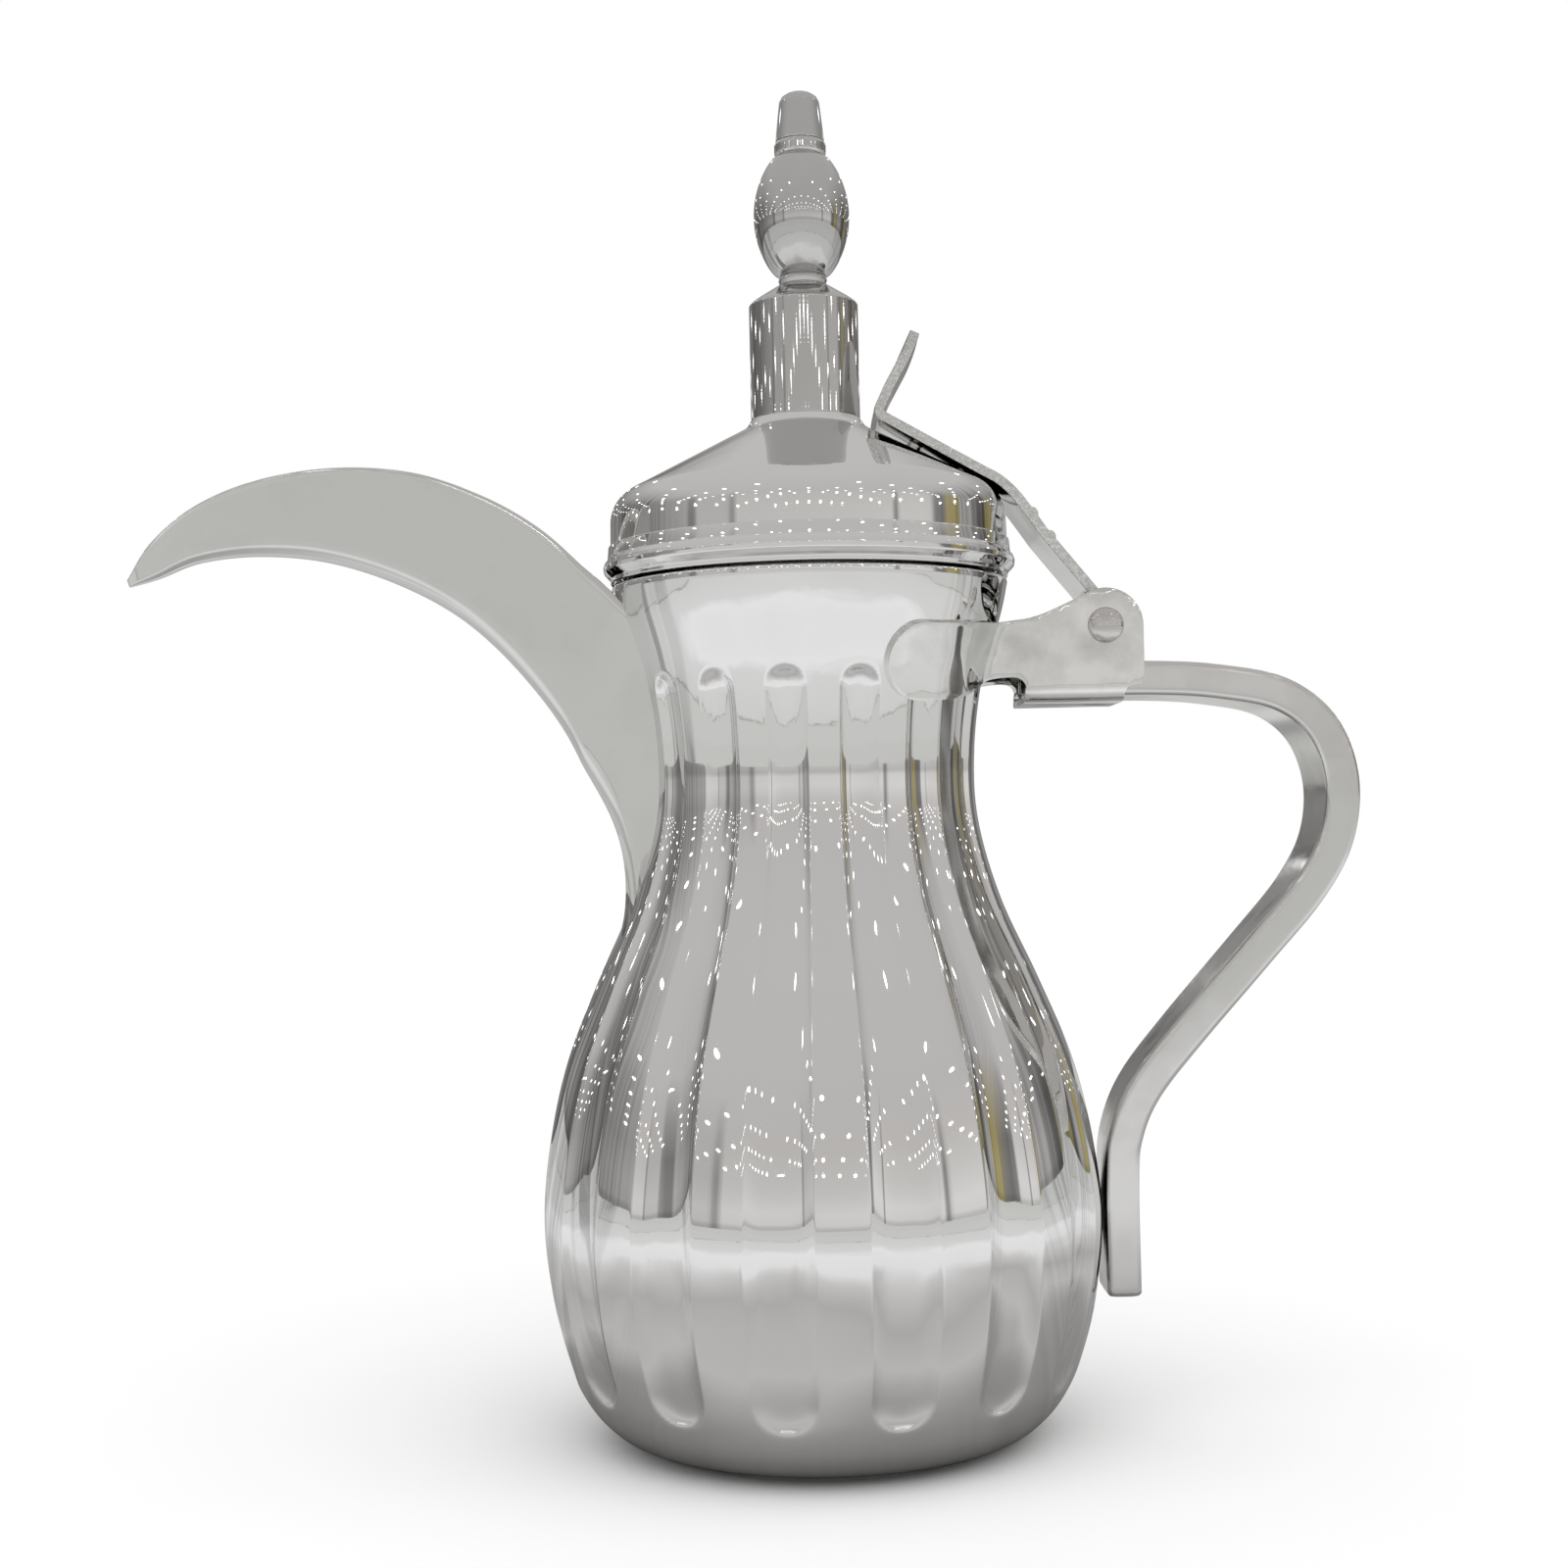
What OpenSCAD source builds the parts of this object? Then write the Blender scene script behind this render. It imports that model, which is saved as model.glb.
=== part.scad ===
// Arabic coffee pot (dallah): fluted waisted body, open crescent beak, bent strap handle,
// and a domed lid with a turned finial that swings on a rivet above the handle.
// Millimetres, +Z up. The origin is the centre of the base underside.
// The handle is towards +X and the beak towards -X.

/* [Body] */
// Height of the mouth above the floor
mouth_height = 171.5; // [160:0.5:185]
// Radius of the flat bottom disc
base_radius = 34.6; // [30:0.1:38]
// Thickness of the bottom disc
base_thickness = 1.4; // [0.8:0.1:3]
// Thickness of the body sheet
body_wall = 1.2; // [0.8:0.1:2]

/* [Flutes] */
// Number of flutes round the body
flute_count = 15; // [10:1:20]
// Angle of the first flute from the handle side
flute_phase = -3; // [-12:0.5:12]
// Depth of a flute at its centre line
flute_depth = 1.5; // [0.5:0.1:2.5]
// Share of the pitch taken by a flute
flute_share = 0.57; // [0.3:0.01:0.8]
// Height of the lower flute ends
flute_low = 12; // [8:0.5:25]
// Height of the upper flute ends
flute_high = 153; // [140:0.5:160]

/* [Beak] */
// Half width of the beak where it meets the body
beak_half_width = 13.4; // [10:0.1:16]
// Half width of the beak at its tip
tip_half_width = 0.9; // [0.6:0.1:3]
// Thickness of the beak sheet
beak_wall = 1.1; // [0.8:0.1:1.6]

/* [Handle] */
// Width of the handle bar at the bracket
handle_width = 22; // [16:0.5:22]
// Width of the handle bar at its lower end
handle_tail_width = 14; // [10:0.5:22]
// Thickness of the handle bar
handle_thickness = 7; // [5:0.1:9]
// Radius of the handle's rounded edges
handle_edge = 1.6; // [0.5:0.1:3]

/* [Hinge] */
// Distance of the pin from the pot axis
pin_x = 58.7; // [54:0.1:64]
// Height of the pin above the floor
pin_z = 161.3; // [158:0.1:166]
// Radius of the pin shank
pin_radius = 2; // [1.5:0.1:2.5]
// Radius of the domed pin heads
pin_head_radius = 3.6; // [3:0.1:5]
// Radius of the rolled knuckle
knuckle_radius = 3.8; // [3.5:0.1:4.5]
// Radial running clearance in the knuckle
pin_clearance = 0.06; // [0.01:0.01:0.1]
// Radius of the bracket ears
ear_radius = 7.5; // [6:0.1:9]
// Thickness of the bracket sheet
bracket_sheet = 1.2; // [0.8:0.1:2]

/* [Lid] */
// Thickness of the lid sheet
lid_sheet = 1; // [0.8:0.1:1.5]
// Outer radius of the lid wall
lid_radius = 40.3; // [38:0.1:42]
// Height of the lid's lower lip above the floor
lip_height = 172.3; // [172:0.1:174]
// Height of the flat top of the lid
crown_height = 205.5; // [200:0.5:210]
// Width of the lever strap
lever_width = 20; // [14:0.5:21]
// Thickness of the lever strap
lever_thickness = 2; // [1:0.1:2.5]
// Length of the thumb tab
tab_length = 20; // [12:0.5:22]
// Slope of the thumb tab from the horizontal
tab_slope = 65; // [45:1:80]

/* [Finial] */
// Radius of the column on the lid
column_radius = 11.15; // [9:0.05:13]
// Height of the column's upper edge above the floor
column_top = 229; // [220:0.5:235]
// Largest radius of the bulb
bulb_radius = 9.8; // [8:0.1:11]
// Height of the finial tip above the floor
finial_top = 273; // [268:0.5:278]
// Radius of the threaded stud
stud_radius = 2; // [1.5:0.1:2.5]

/* [Hidden] */
$fn = 96;
steel = [0.78, 0.79, 0.80];
slack = 0.05;
fastener_fn = 48;

// Flute columns: five across each channel, the land between them is one flat step
flute_pitch = 360 / flute_count;
flute_half = flute_pitch * flute_share / 2;
channel_steps = [-1, -0.5, 0, 0.5, 1];
columns = flute_count * len(channel_steps);

// Outer body curve over the lands, as [radius, height] from the heel to the mouth
body_curve = [
    [34, 0.3], [41, 2], [45.4, 5.2], [48.8, 9.6], [51.6, 15.8], [54.7, 27.4],
    [56.4, 43.4], [54.9, 59.4], [51.2, 75.4], [44.8, 91.4], [37.7, 107.4],
    [33.5, 123], [33, 137], [35, 152], [38.9, 165], [40.4, mouth_height]
];
// Heights at which the body wall is sectioned, closer together at the flute ends
body_rows = [
    0.3, 1, 2.2, 4.4, 8, 11, 13.5, 16.5, 20, 27, 35, 44, 53, 62, 71, 80, 89, 98, 107, 116,
    125, 135, 143, 148, 151, 154, 162, mouth_height
];
// Opening from the body into the beak
port_low = 107;
port_high = 151;
port_half_angle = 13;

// Beak curves in the X-Z plane, from the tip to the body
beak_top_curve = [
    [-139.2, 175.6], [-133.5, 183.2], [-124, 190.2], [-111, 194.9], [-95, 196.8], [-79, 195.2],
    [-65, 190], [-54.5, 183.7], [-47, 177], [-42.2, 171.5], [-39.4, 166.5]
];
beak_keel_curve = [
    [-138.8, 174.2], [-133, 175.8], [-124.5, 178.9], [-112.5, 180], [-98.5, 178.5], [-84, 173.6],
    [-70.5, 165.8], [-58.5, 154], [-48.5, 139.3], [-43, 122], [-42.6, 98]
];
beak_steps = 3;
beak_embed = 0.6;

// Centre line of the handle in the X-Z plane, from the bracket to the lower end
handle_curve = [
    [44, 150.7], [68, 150.7], [82, 149.6], [94, 146.8], [102, 140], [105.5, 129.5],
    [104.2, 118], [98.5, 107.6], [88, 95.4], [74, 79.6], [65.2, 68.6], [61.2, 59.5],
    [60.2, 50], [60.2, 26.8]
];
handle_steps = 4;

// Bracket, measured from the pot axis and the floor
wing_inner = handle_width / 2 - slack;
wing_outer = wing_inner + bracket_sheet;
floor_start = 41.7;
floor_end = pin_x + ear_radius;
floor_under = 146.1;
arm_low = 151.3;
arm_high = 162.4;
pad_middle = 153.6;
pad_radius = 7.5;
pad_turn = 44;
pad_reach = 6.7;
pad_root = 17;
ear_spread = 12.5;

// Lid section: straight cone, round shoulder, upright wall
cone_low = [36.4, 191.05];
cone_high = [14, 202.8];
shoulder_centre = [33, 184.6];
shoulder_radius = 7.3;
cone_angle = atan2(cone_high[1] - cone_low[1], cone_low[0] - cone_high[0]);
rim_top = 179.8;
collar_radius = 37.2;
collar_low = 167.6;
collar_high = 175.4;

// Lever centre line in the X-Z plane, from the thumb tab to the knuckle
lever_corner = [14.2, 205.05];
lever_bend = [[35, 193.1], [38.3, 191.2], [41.3, 188.4], [44.1, 184.7], [47, 180.5]];
lever_foot = [60.9, 163];
lever_slope = atan2(lever_corner[1] - lever_bend[0][1], lever_bend[0][0] - lever_corner[0]);
rivet_places = [22.4, 31.9];
rivet_radius = 1.5;
rivet_head = 2.6;
ridge_places = [[45.6, 184.9], [48.9, 180.1]];
ridge_radius = 0.7;

// Finial heights from the lid upwards
shoulder_top = 233.3;
bulb_low = 235.1;
bulb_high = 259.7;
bead_high = 262.9;
tip_edge = 271;
neck_radius = 4.7;
bulb_end_radius = 4.9;
bead_radius = 5.3;
tip_radius = 4.1;
stud_low = 199.6;
stud_high = 268;

// ---- curves ----

// Point on a Catmull-Rom segment between b and c
function curve_point(a, b, c, d, t) =
    0.5 * (2 * b + (c - a) * t + (2 * a - 5 * b + 4 * c - d) * t * t
    + (3 * b - a - 3 * c + d) * t * t * t);

// Smooth curve through all points, with n steps between neighbours
function smooth(p, n) = let (last = len(p) - 1) concat(
    [for (i = [0 : last - 1]) let (
        before = i == 0 ? 2 * p[0] - p[1] : p[i - 1],
        after = i == last - 1 ? 2 * p[last] - p[last - 1] : p[i + 2]
    ) for (k = [0 : n - 1]) curve_point(before, p[i], p[i + 1], after, k / n)],
    [p[last]]
);

// Unit direction of a path at point i
function heading(path, i) = let (
    a = path[max(i - 1, 0)],
    b = path[min(i + 1, len(path) - 1)]
) (b - a) / norm(b - a);

// Path moved sideways, to its left for a positive distance
function beside(path, distance) = [
    for (i = [0 : len(path) - 1]) let (h = heading(path, i)) path[i] + distance * [-h[1], h[0]]
];

// Outline of a strip of constant thickness along a path
function strip(path, thickness) = concat(
    beside(path, thickness / 2),
    [for (i = [len(path) - 1 : -1 : 0]) beside(path, -thickness / 2)[i]]
);

// Closed solid through rings of equally many points; the two halves of a ring face each other
module loft(rings) {
    n = len(rings[0]);
    m = len(rings);
    polyhedron(
        points = [for (ring = rings) each ring],
        faces = concat(
            [for (j = [0 : m - 2]) for (i = [0 : n - 1]) let (k = (i + 1) % n) each [
                [j * n + i, j * n + n + i, j * n + n + k],
                [j * n + i, j * n + n + k, j * n + k]
            ]],
            [for (i = [0 : n / 2 - 2]) let (far = n - 1 - i, top = (m - 1) * n) each [
                [i, i + 1, far - 1, far],
                [top + far, top + far - 1, top + i + 1, top + i]
            ]]
        ),
        convexity = 6
    );
}

// ---- body ----

body_table = [for (p = smooth(body_curve, 8)) [p[1], p[0]]];

// Radius of the plain body at a height, and its slope
function body_radius(z) = lookup(z, body_table);
function body_slope(z) = (body_radius(z + 0.3) - body_radius(z - 0.3)) /
    (min(z + 0.3, mouth_height) - max(z - 0.3, 0.3));

// Depth of the nearest flute at a height and an angle, with round ends
function flute_at(z, angle) = let (
    off = (angle - flute_phase) - flute_pitch * round((angle - flute_phase) / flute_pitch),
    half = body_radius(z) * sin(flute_half),
    low_centre = flute_low + body_radius(flute_low) * sin(flute_half),
    high_centre = flute_high - body_radius(flute_high) * sin(flute_half),
    past = max(low_centre - z, z - high_centre, 0),
    across = off / flute_half,
    reach = across * across + pow(past / half, 2)
) flute_depth * max(0, 1 - reach);

function column_angle(i) = let (steps = len(channel_steps))
    flute_phase + flute_pitch * floor(i / steps) + flute_half * channel_steps[i % steps];

// Point of the body wall, inset from the outside along the wall's normal
function wall_point(z, angle, inset) = let (
    slope = body_slope(z),
    length = sqrt(1 + slope * slope),
    radius = body_radius(z) - inset / length - flute_at(z, angle)
) [radius * cos(angle), radius * sin(angle), z + inset * slope / length];

function in_port(j, i) = let (middle = (column_angle(i) + column_angle(i + 1)) / 2)
    body_rows[j] >= port_low && body_rows[j + 1] <= port_high
    && abs(middle - 180) < port_half_angle;

module body_shell() {
    n = columns;
    last = len(body_rows) - 1;
    inner = n * len(body_rows);
    cells = [for (j = [0 : last - 1]) for (i = [0 : n - 1]) [j, i, (i + 1) % n]];
    solid_cells = [for (c = cells) if (!in_port(c[0], c[1])) c];
    port_cells = [for (c = cells) if (in_port(c[0], c[1])) c];
    color(steel)
    polyhedron(
        points = concat(
            [for (z = body_rows) for (i = [0 : n - 1]) wall_point(z, column_angle(i), 0)],
            [for (z = body_rows) for (i = [0 : n - 1]) wall_point(z, column_angle(i), body_wall)]
        ),
        faces = concat(
            [for (c = solid_cells) let (a = c[0] * n + c[1], b = c[0] * n + c[2]) each [
                [a, a + n, b + n],
                [a, b + n, b],
                [inner + a, inner + b, inner + b + n],
                [inner + a, inner + b + n, inner + a + n]
            ]],
            [for (i = [0 : n - 1]) let (k = (i + 1) % n, top = last * n) each [
                edge_face(i, k, inner),
                edge_face(top + k, top + i, inner)
            ]],
            [for (c = port_cells) let (a = c[0] * n + c[1], b = c[0] * n + c[2]) each [
                if (!in_port(c[0] - 1, c[1])) edge_face(b, a, inner),
                if (!in_port(c[0] + 1, c[1])) edge_face(a + n, b + n, inner),
                if (!in_port(c[0], c[1] - 1)) edge_face(a, a + n, inner),
                if (!in_port(c[0], c[1] + 1)) edge_face(b + n, b, inner)
            ]]
        ),
        convexity = 10
    );
}

// Quad across the thickness of the wall, from outer points a and b to the inner ones
function edge_face(a, b, inner) = [a, b, inner + b, inner + a];

module base_plate() {
    color(steel)
    cylinder(r = base_radius, h = base_thickness);
}

// ---- beak ----

beak_top = smooth(beak_top_curve, beak_steps);
beak_keel = smooth(beak_keel_curve, beak_steps);
beak_angles = [0 : 15 : 90];

function beak_width(u) = tip_half_width + (beak_half_width - tip_half_width) * pow(u, 0.75);

// Point of the beak wall: a is 0 on the keel and 90 on the top edge, inset goes inwards
function beak_point(j, a, inset, side) = let (
    u = j / (len(beak_top) - 1),
    width = beak_width(u) - inset,
    rise = beak_top[j] - beak_keel[j],
    foot = beak_keel[j] + rise * inset / norm(rise),
    flat = foot + (beak_top[j] - foot) * (1 - pow(cos(a), 0.75)),
    y = width * pow(sin(a), 0.75)
) [u == 1 ? -beak_root(flat[1], y) : flat[0], side * y, flat[1]];

// Distance of the wall's end from the YZ plane, inside the thickness of the body wall
function beak_root(z, y) = let (
    angle = 180 - asin(y / body_radius(z)),
    radius = body_radius(z) - flute_at(z, angle) - beak_embed
) sqrt(radius * radius - y * y);

module beak_half(side) {
    last = len(beak_top) - 1;
    rings = [for (j = [0 : last]) let (
        thickness = min(beak_wall, 0.55 * beak_width(j / last)),
        outer = [for (a = beak_angles) beak_point(j, a, 0, side)],
        inner = [for (a = [90 : -15 : 0]) beak_point(j, a, thickness, side)]
    ) concat(outer, inner)];
    color(steel)
    loft(side < 0 ? rings : [for (ring = rings) [for (i = [len(ring) - 1 : -1 : 0]) ring[i]]]);
}

module spout_near() {
    beak_half(-1);
}

module spout_far() {
    beak_half(1);
}

// ---- handle ----

handle_path = smooth(handle_curve, handle_steps);

function handle_half_width(u) = let (tail = max(0, (u - 0.35) / 0.65))
    (handle_width + (handle_tail_width - handle_width) * tail) / 2;

// Rounded rectangle as [across, through] points
function rounded_section(half_width, half_thickness, r) = [
    for (corner = [[1, 1, 0], [-1, 1, 90], [-1, -1, 180], [1, -1, 270]])
        for (turn = [0, 30, 60, 90])
            [
                corner[0] * (half_width - r) + r * cos(corner[2] + turn),
                corner[1] * (half_thickness - r) + r * sin(corner[2] + turn)
            ]
];

module handle_bar() {
    last = len(handle_path) - 1;
    rings = [for (j = [0 : last]) let (
        h = heading(handle_path, j),
        u = j / last,
        end = (j == last) ? handle_edge * 0.7 : 0,
        section = rounded_section(handle_half_width(u) - end, handle_thickness / 2 - end, handle_edge)
    ) [for (s = section) [
        handle_path[j][0] - h[1] * s[1],
        s[0],
        handle_path[j][1] + h[0] * s[1]
    ]]];
    color(steel)
    loft(rings);
}

// ---- hinge bracket and pin ----

// Plain solid of the neck that the bracket pads bear on
module neck_solid(growth) {
    heights = [140 : 2 : 170];
    rotate_extrude()
    polygon(concat(
        [[0, 140]],
        [for (z = heights) [body_radius(z) + growth, z]],
        [[0, 170]]
    ));
}

// Side view of a wing: arm, ear round the pin, and skirt down to the floor
module wing_outline() {
    hull() {
        translate([pin_x, pin_z])
        circle(r = ear_radius);
        translate([pin_x - ear_spread, floor_under])
        square([ear_spread + ear_radius, 2]);
    }
    polygon([
        [30, arm_low], [floor_start - 1, arm_low], [floor_start, floor_under],
        [pin_x, floor_under], [pin_x, pin_z], [pin_x - 6, pin_z + 5], [47, 163.6],
        [40, arm_high], [30, arm_high]
    ]);
}

module wing(side) {
    translate([0, side * (wing_inner + bracket_sheet / 2), 0])
    rotate([90, 0, 0])
    linear_extrude(height = bracket_sheet, center = true)
    wing_outline();
}

// Pad wrapped round the neck, ending in a half circle
module pad(side) {
    intersection() {
        difference() {
            neck_solid(bracket_sheet + 0.1);
            neck_solid(-0.1);
        }
        rotate([0, 0, side * pad_turn])
        translate([0, 0, pad_middle])
        rotate([90, 0, 90])
        linear_extrude(height = 60)
        hull() {
            translate([side * pad_reach, 0])
            circle(r = pad_radius);
            translate([-side * pad_root, 1])
            square([2, 2 * pad_radius - 3], center = true);
        }
    }
}

module hinge_bracket() {
    color(steel)
    difference() {
        union() {
            for (side = [-1, 1]) {
                difference() {
                    wing(side);
                    neck_solid(-0.1);
                }
                pad(side);
            }
            translate([floor_start, -wing_outer, floor_under])
            cube([floor_end - floor_start, 2 * wing_outer, bracket_sheet]);
        }
        translate([pin_x, 0, pin_z])
        rotate([90, 0, 0])
        cylinder(r = pin_radius + 0.02, h = 3 * wing_outer, center = true);
    }
}

// Domed rivet head standing on the plane z = 0
module domed_head(r, h) {
    ball = (r * r + h * h) / (2 * h);
    rotate_extrude()
    intersection() {
        translate([0, h - ball])
        circle(r = ball);
        square([r, h]);
    }
}

module hinge_pin() {
    color(steel)
    translate([pin_x, 0, pin_z])
    union() {
        rotate([90, 0, 0])
        cylinder(r = pin_radius, h = 2 * wing_outer, center = true);
        for (side = [0, 180])
            rotate([90, 0, side])
            translate([0, 0, wing_outer])
            domed_head(pin_head_radius, 1.7);
    }
}

// ---- lid ----

function shoulder_arc(r, first, last, n) = [
    for (i = [0 : n]) let (a = first + (last - first) * i / n)
        shoulder_centre + r * [cos(a), sin(a)]
];

module lid_dome() {
    up = 90 - cone_angle;
    outer = concat(
        [[0, crown_height], [11.3, crown_height], [12.1, 204.3], cone_high],
        shoulder_arc(shoulder_radius, up, 2, 6),
        [[lid_radius + 0.1, lip_height + 1.5]]
    );
    inner = concat(
        [[lid_radius + 0.1 - lid_sheet, lip_height + 1.5]],
        shoulder_arc(shoulder_radius - lid_sheet, 2, up, 6),
        [
            cone_high - lid_sheet * [cos(up), sin(up)],
            [11.2, crown_height - 1.9], [10.6, crown_height - lid_sheet],
            [0, crown_height - lid_sheet]
        ]
    );
    color(steel)
    difference() {
        rotate_extrude()
        polygon(concat(outer, inner));
        translate([0, 0, crown_height - 3])
        cylinder(r = stud_radius + slack, h = 5);
        rivet_holes();
    }
}

module lid_rim() {
    color(steel)
    rotate_extrude()
    polygon([
        [lid_radius - 0.05, rim_top], [lid_radius + 0.5, rim_top], [lid_radius + 0.7, 177.2],
        [lid_radius + 1.3, 176.4], [lid_radius + 1.6, 175.6], [lid_radius + 1.5, 174.6],
        [lid_radius + 0.8, 173.8], [lid_radius + 0.2, 173.2], [lid_radius + 0.1, lip_height],
        [lid_radius - 0.9, lip_height], [lid_radius - 0.9, 173.7], [lid_radius - 0.05, 174.2]
    ]);
}

module lid_collar() {
    color(steel)
    rotate_extrude()
    polygon([
        [collar_radius - lid_sheet, collar_low], [collar_radius, collar_low],
        [collar_radius, collar_high - lid_sheet], [lid_radius - 0.7, collar_high - lid_sheet],
        [lid_radius - 0.7, collar_high], [collar_radius - lid_sheet, collar_high]
    ]);
}

// ---- finial ----

module turned(profile) {
    color(steel)
    difference() {
        rotate_extrude()
        polygon(profile);
        translate([0, 0, 190])
        cylinder(r = stud_radius + slack, h = stud_high + 0.5 - 190);
    }
}

module finial_column() {
    turned([
        [column_radius, crown_height], [column_radius, column_top], [10.5, 229.6],
        [9.7, 230.2], [6.1, 232.5], [neck_radius + 0.1, shoulder_top], [0, shoulder_top],
        [0, column_top - 1], [column_radius - 1, column_top - 2],
        [column_radius - 1, crown_height]
    ]);
}

module finial_neck() {
    turned([
        [0, shoulder_top], [neck_radius, shoulder_top], [neck_radius + 0.3, 234.2],
        [neck_radius, bulb_low], [0, bulb_low]
    ]);
}

module finial_bulb() {
    rise = bulb_high - bulb_low;
    swell = bulb_radius - bulb_end_radius;
    turned(concat(
        [[0, bulb_low]],
        [for (s = [0 : 0.05 : 1.001])
            [bulb_end_radius + swell * pow(max(sin(180 * s), 0), 0.65), bulb_low + rise * s]],
        [[0, bulb_high]]
    ));
}

module finial_bead() {
    turned([
        [0, bulb_high], [bead_radius - 0.5, bulb_high], [bead_radius, 260.4],
        [bead_radius, 262.1], [bead_radius - 0.5, bead_high], [0, bead_high]
    ]);
}

module finial_tip() {
    turned([
        [0, bead_high], [bead_radius - 0.3, bead_high], [tip_radius + 0.3, 268.5],
        [tip_radius, tip_edge], [3.6, 272], [2.4, 272.8], [0, finial_top]
    ]);
}

module finial_stud() {
    color(steel)
    translate([0, 0, stud_low])
    cylinder(r = stud_radius, h = stud_high - stud_low, $fn = fastener_fn);
}

module finial_washer() {
    color(steel)
    translate([0, 0, crown_height - lid_sheet - 1])
    difference() {
        cylinder(r = 5, h = 1, $fn = fastener_fn);
        translate([0, 0, -1])
        cylinder(r = stud_radius + slack, h = 3, $fn = fastener_fn);
    }
}

module finial_nut() {
    color(steel)
    translate([0, 0, crown_height - lid_sheet - 4.2])
    difference() {
        cylinder(r = 4.04, h = 3.2, $fn = 6);
        translate([0, 0, -1])
        cylinder(r = stud_radius + slack, h = 6, $fn = fastener_fn);
    }
}

// ---- lever ----

// Moves its children on to the strap at a distance from the pot axis, +Z out of the strap
module on_strap(x) {
    z = lever_corner[1] - (x - lever_corner[0]) * tan(lever_slope);
    translate([x, 0, z])
    rotate([0, lever_slope, 0])
    children();
}

module rivet_holes() {
    for (x = rivet_places)
        on_strap(x)
        cylinder(r = rivet_radius + slack, h = 12, center = true, $fn = fastener_fn);
}

module thumb_tab() {
    half = lever_width / 2 - 1;
    translate([lever_corner[0], 0, lever_corner[1]])
    rotate([0, -tab_slope, 0])
    linear_extrude(height = lever_thickness, center = true)
    union() {
        translate([-0.6, -half])
        square([tab_length - half + 0.6, 2 * half]);
        intersection() {
            translate([tab_length - half, 0])
            circle(r = half);
            translate([0, -half])
            square([tab_length, 2 * half]);
        }
    }
}

module lid_lever() {
    path = concat([lever_corner], smooth(lever_bend, 3), [lever_foot]);
    color(steel)
    difference() {
        union() {
            rotate([90, 0, 0])
            linear_extrude(height = lever_width, center = true)
            polygon(strip(path, lever_thickness));
            thumb_tab();
            for (place = ridge_places)
                translate([place[0], 0, place[1]])
                rotate([90, 0, 0])
                cylinder(r = ridge_radius, h = lever_width, center = true, $fn = 24);
            translate([pin_x, 0, pin_z])
            rotate([90, 0, 0])
            cylinder(r = knuckle_radius, h = lever_width, center = true);
        }
        translate([pin_x, 0, pin_z])
        rotate([90, 0, 0])
        cylinder(r = pin_radius + pin_clearance, h = 2 * lever_width, center = true);
        rivet_holes();
    }
}

module lever_rivets() {
    color(steel)
    for (x = rivet_places)
        on_strap(x)
        union() {
            translate([0, 0, lever_thickness / 2])
            domed_head(rivet_head, 1.5);
            translate([0, 0, -3.2])
            cylinder(r = rivet_radius, h = 3.2 + lever_thickness / 2, $fn = fastener_fn);
            translate([0, 0, -4])
            cylinder(r = rivet_head - 0.3, h = 0.9, $fn = fastener_fn);
        }
}

body_shell();
base_plate();
spout_near();
spout_far();
hinge_bracket();
handle_bar();
hinge_pin();
lid_dome();
lid_rim();
lid_collar();
finial_column();
finial_neck();
finial_bulb();
finial_bead();
finial_tip();
finial_stud();
finial_washer();
finial_nut();
lid_lever();
lever_rivets();
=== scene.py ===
"""Dallah coffee pot in mirror polished steel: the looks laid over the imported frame."""
import math

import bmesh
import bpy
import numpy as np
from mathutils import Matrix, Vector, geometry


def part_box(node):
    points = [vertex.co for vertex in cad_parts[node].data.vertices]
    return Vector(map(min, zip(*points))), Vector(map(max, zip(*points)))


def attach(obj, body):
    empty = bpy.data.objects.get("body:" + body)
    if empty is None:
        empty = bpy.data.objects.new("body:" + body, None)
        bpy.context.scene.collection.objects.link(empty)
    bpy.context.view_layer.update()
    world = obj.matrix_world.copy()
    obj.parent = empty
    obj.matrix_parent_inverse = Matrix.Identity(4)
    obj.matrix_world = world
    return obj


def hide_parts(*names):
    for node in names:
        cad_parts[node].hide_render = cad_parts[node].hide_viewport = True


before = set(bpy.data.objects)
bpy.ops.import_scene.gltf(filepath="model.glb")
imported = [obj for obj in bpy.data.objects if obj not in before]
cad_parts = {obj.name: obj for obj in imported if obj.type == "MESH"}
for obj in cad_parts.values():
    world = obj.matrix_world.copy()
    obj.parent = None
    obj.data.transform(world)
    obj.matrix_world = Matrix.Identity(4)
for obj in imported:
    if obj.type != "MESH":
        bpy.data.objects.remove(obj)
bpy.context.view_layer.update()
MM = 0.001


# ---- places read from the frame, in millimetres ----

def node_box(node):
    low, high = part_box(node)
    return low / MM, high / MM


pin_low, pin_high = node_box("hinge_pin")
MOUTH = node_box("body_shell")[1].z
PIN = (pin_low + pin_high) / 2
CROWN = node_box("lid_dome")[1].z
LIP = node_box("lid_rim")[0].z


# ---- lines and outlines ----

def lay_curve(points, steps):
    """Smooth line through all the points, with the same number of steps between neighbours."""
    p = [np.array(q, float) for q in points]
    last = len(p) - 1
    line = []
    for i in range(last):
        before = 2 * p[0] - p[1] if i == 0 else p[i - 1]
        after = 2 * p[last] - p[last - 1] if i == last - 1 else p[i + 2]
        for k in range(steps):
            t = k / steps
            line.append(0.5 * (2 * p[i] + (p[i + 1] - before) * t
                               + (2 * before - 5 * p[i] + 4 * p[i + 1] - after) * t * t
                               + (3 * p[i] - before - 3 * p[i + 1] + after) * t ** 3))
    line.append(p[last])
    return np.array(line)


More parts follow.
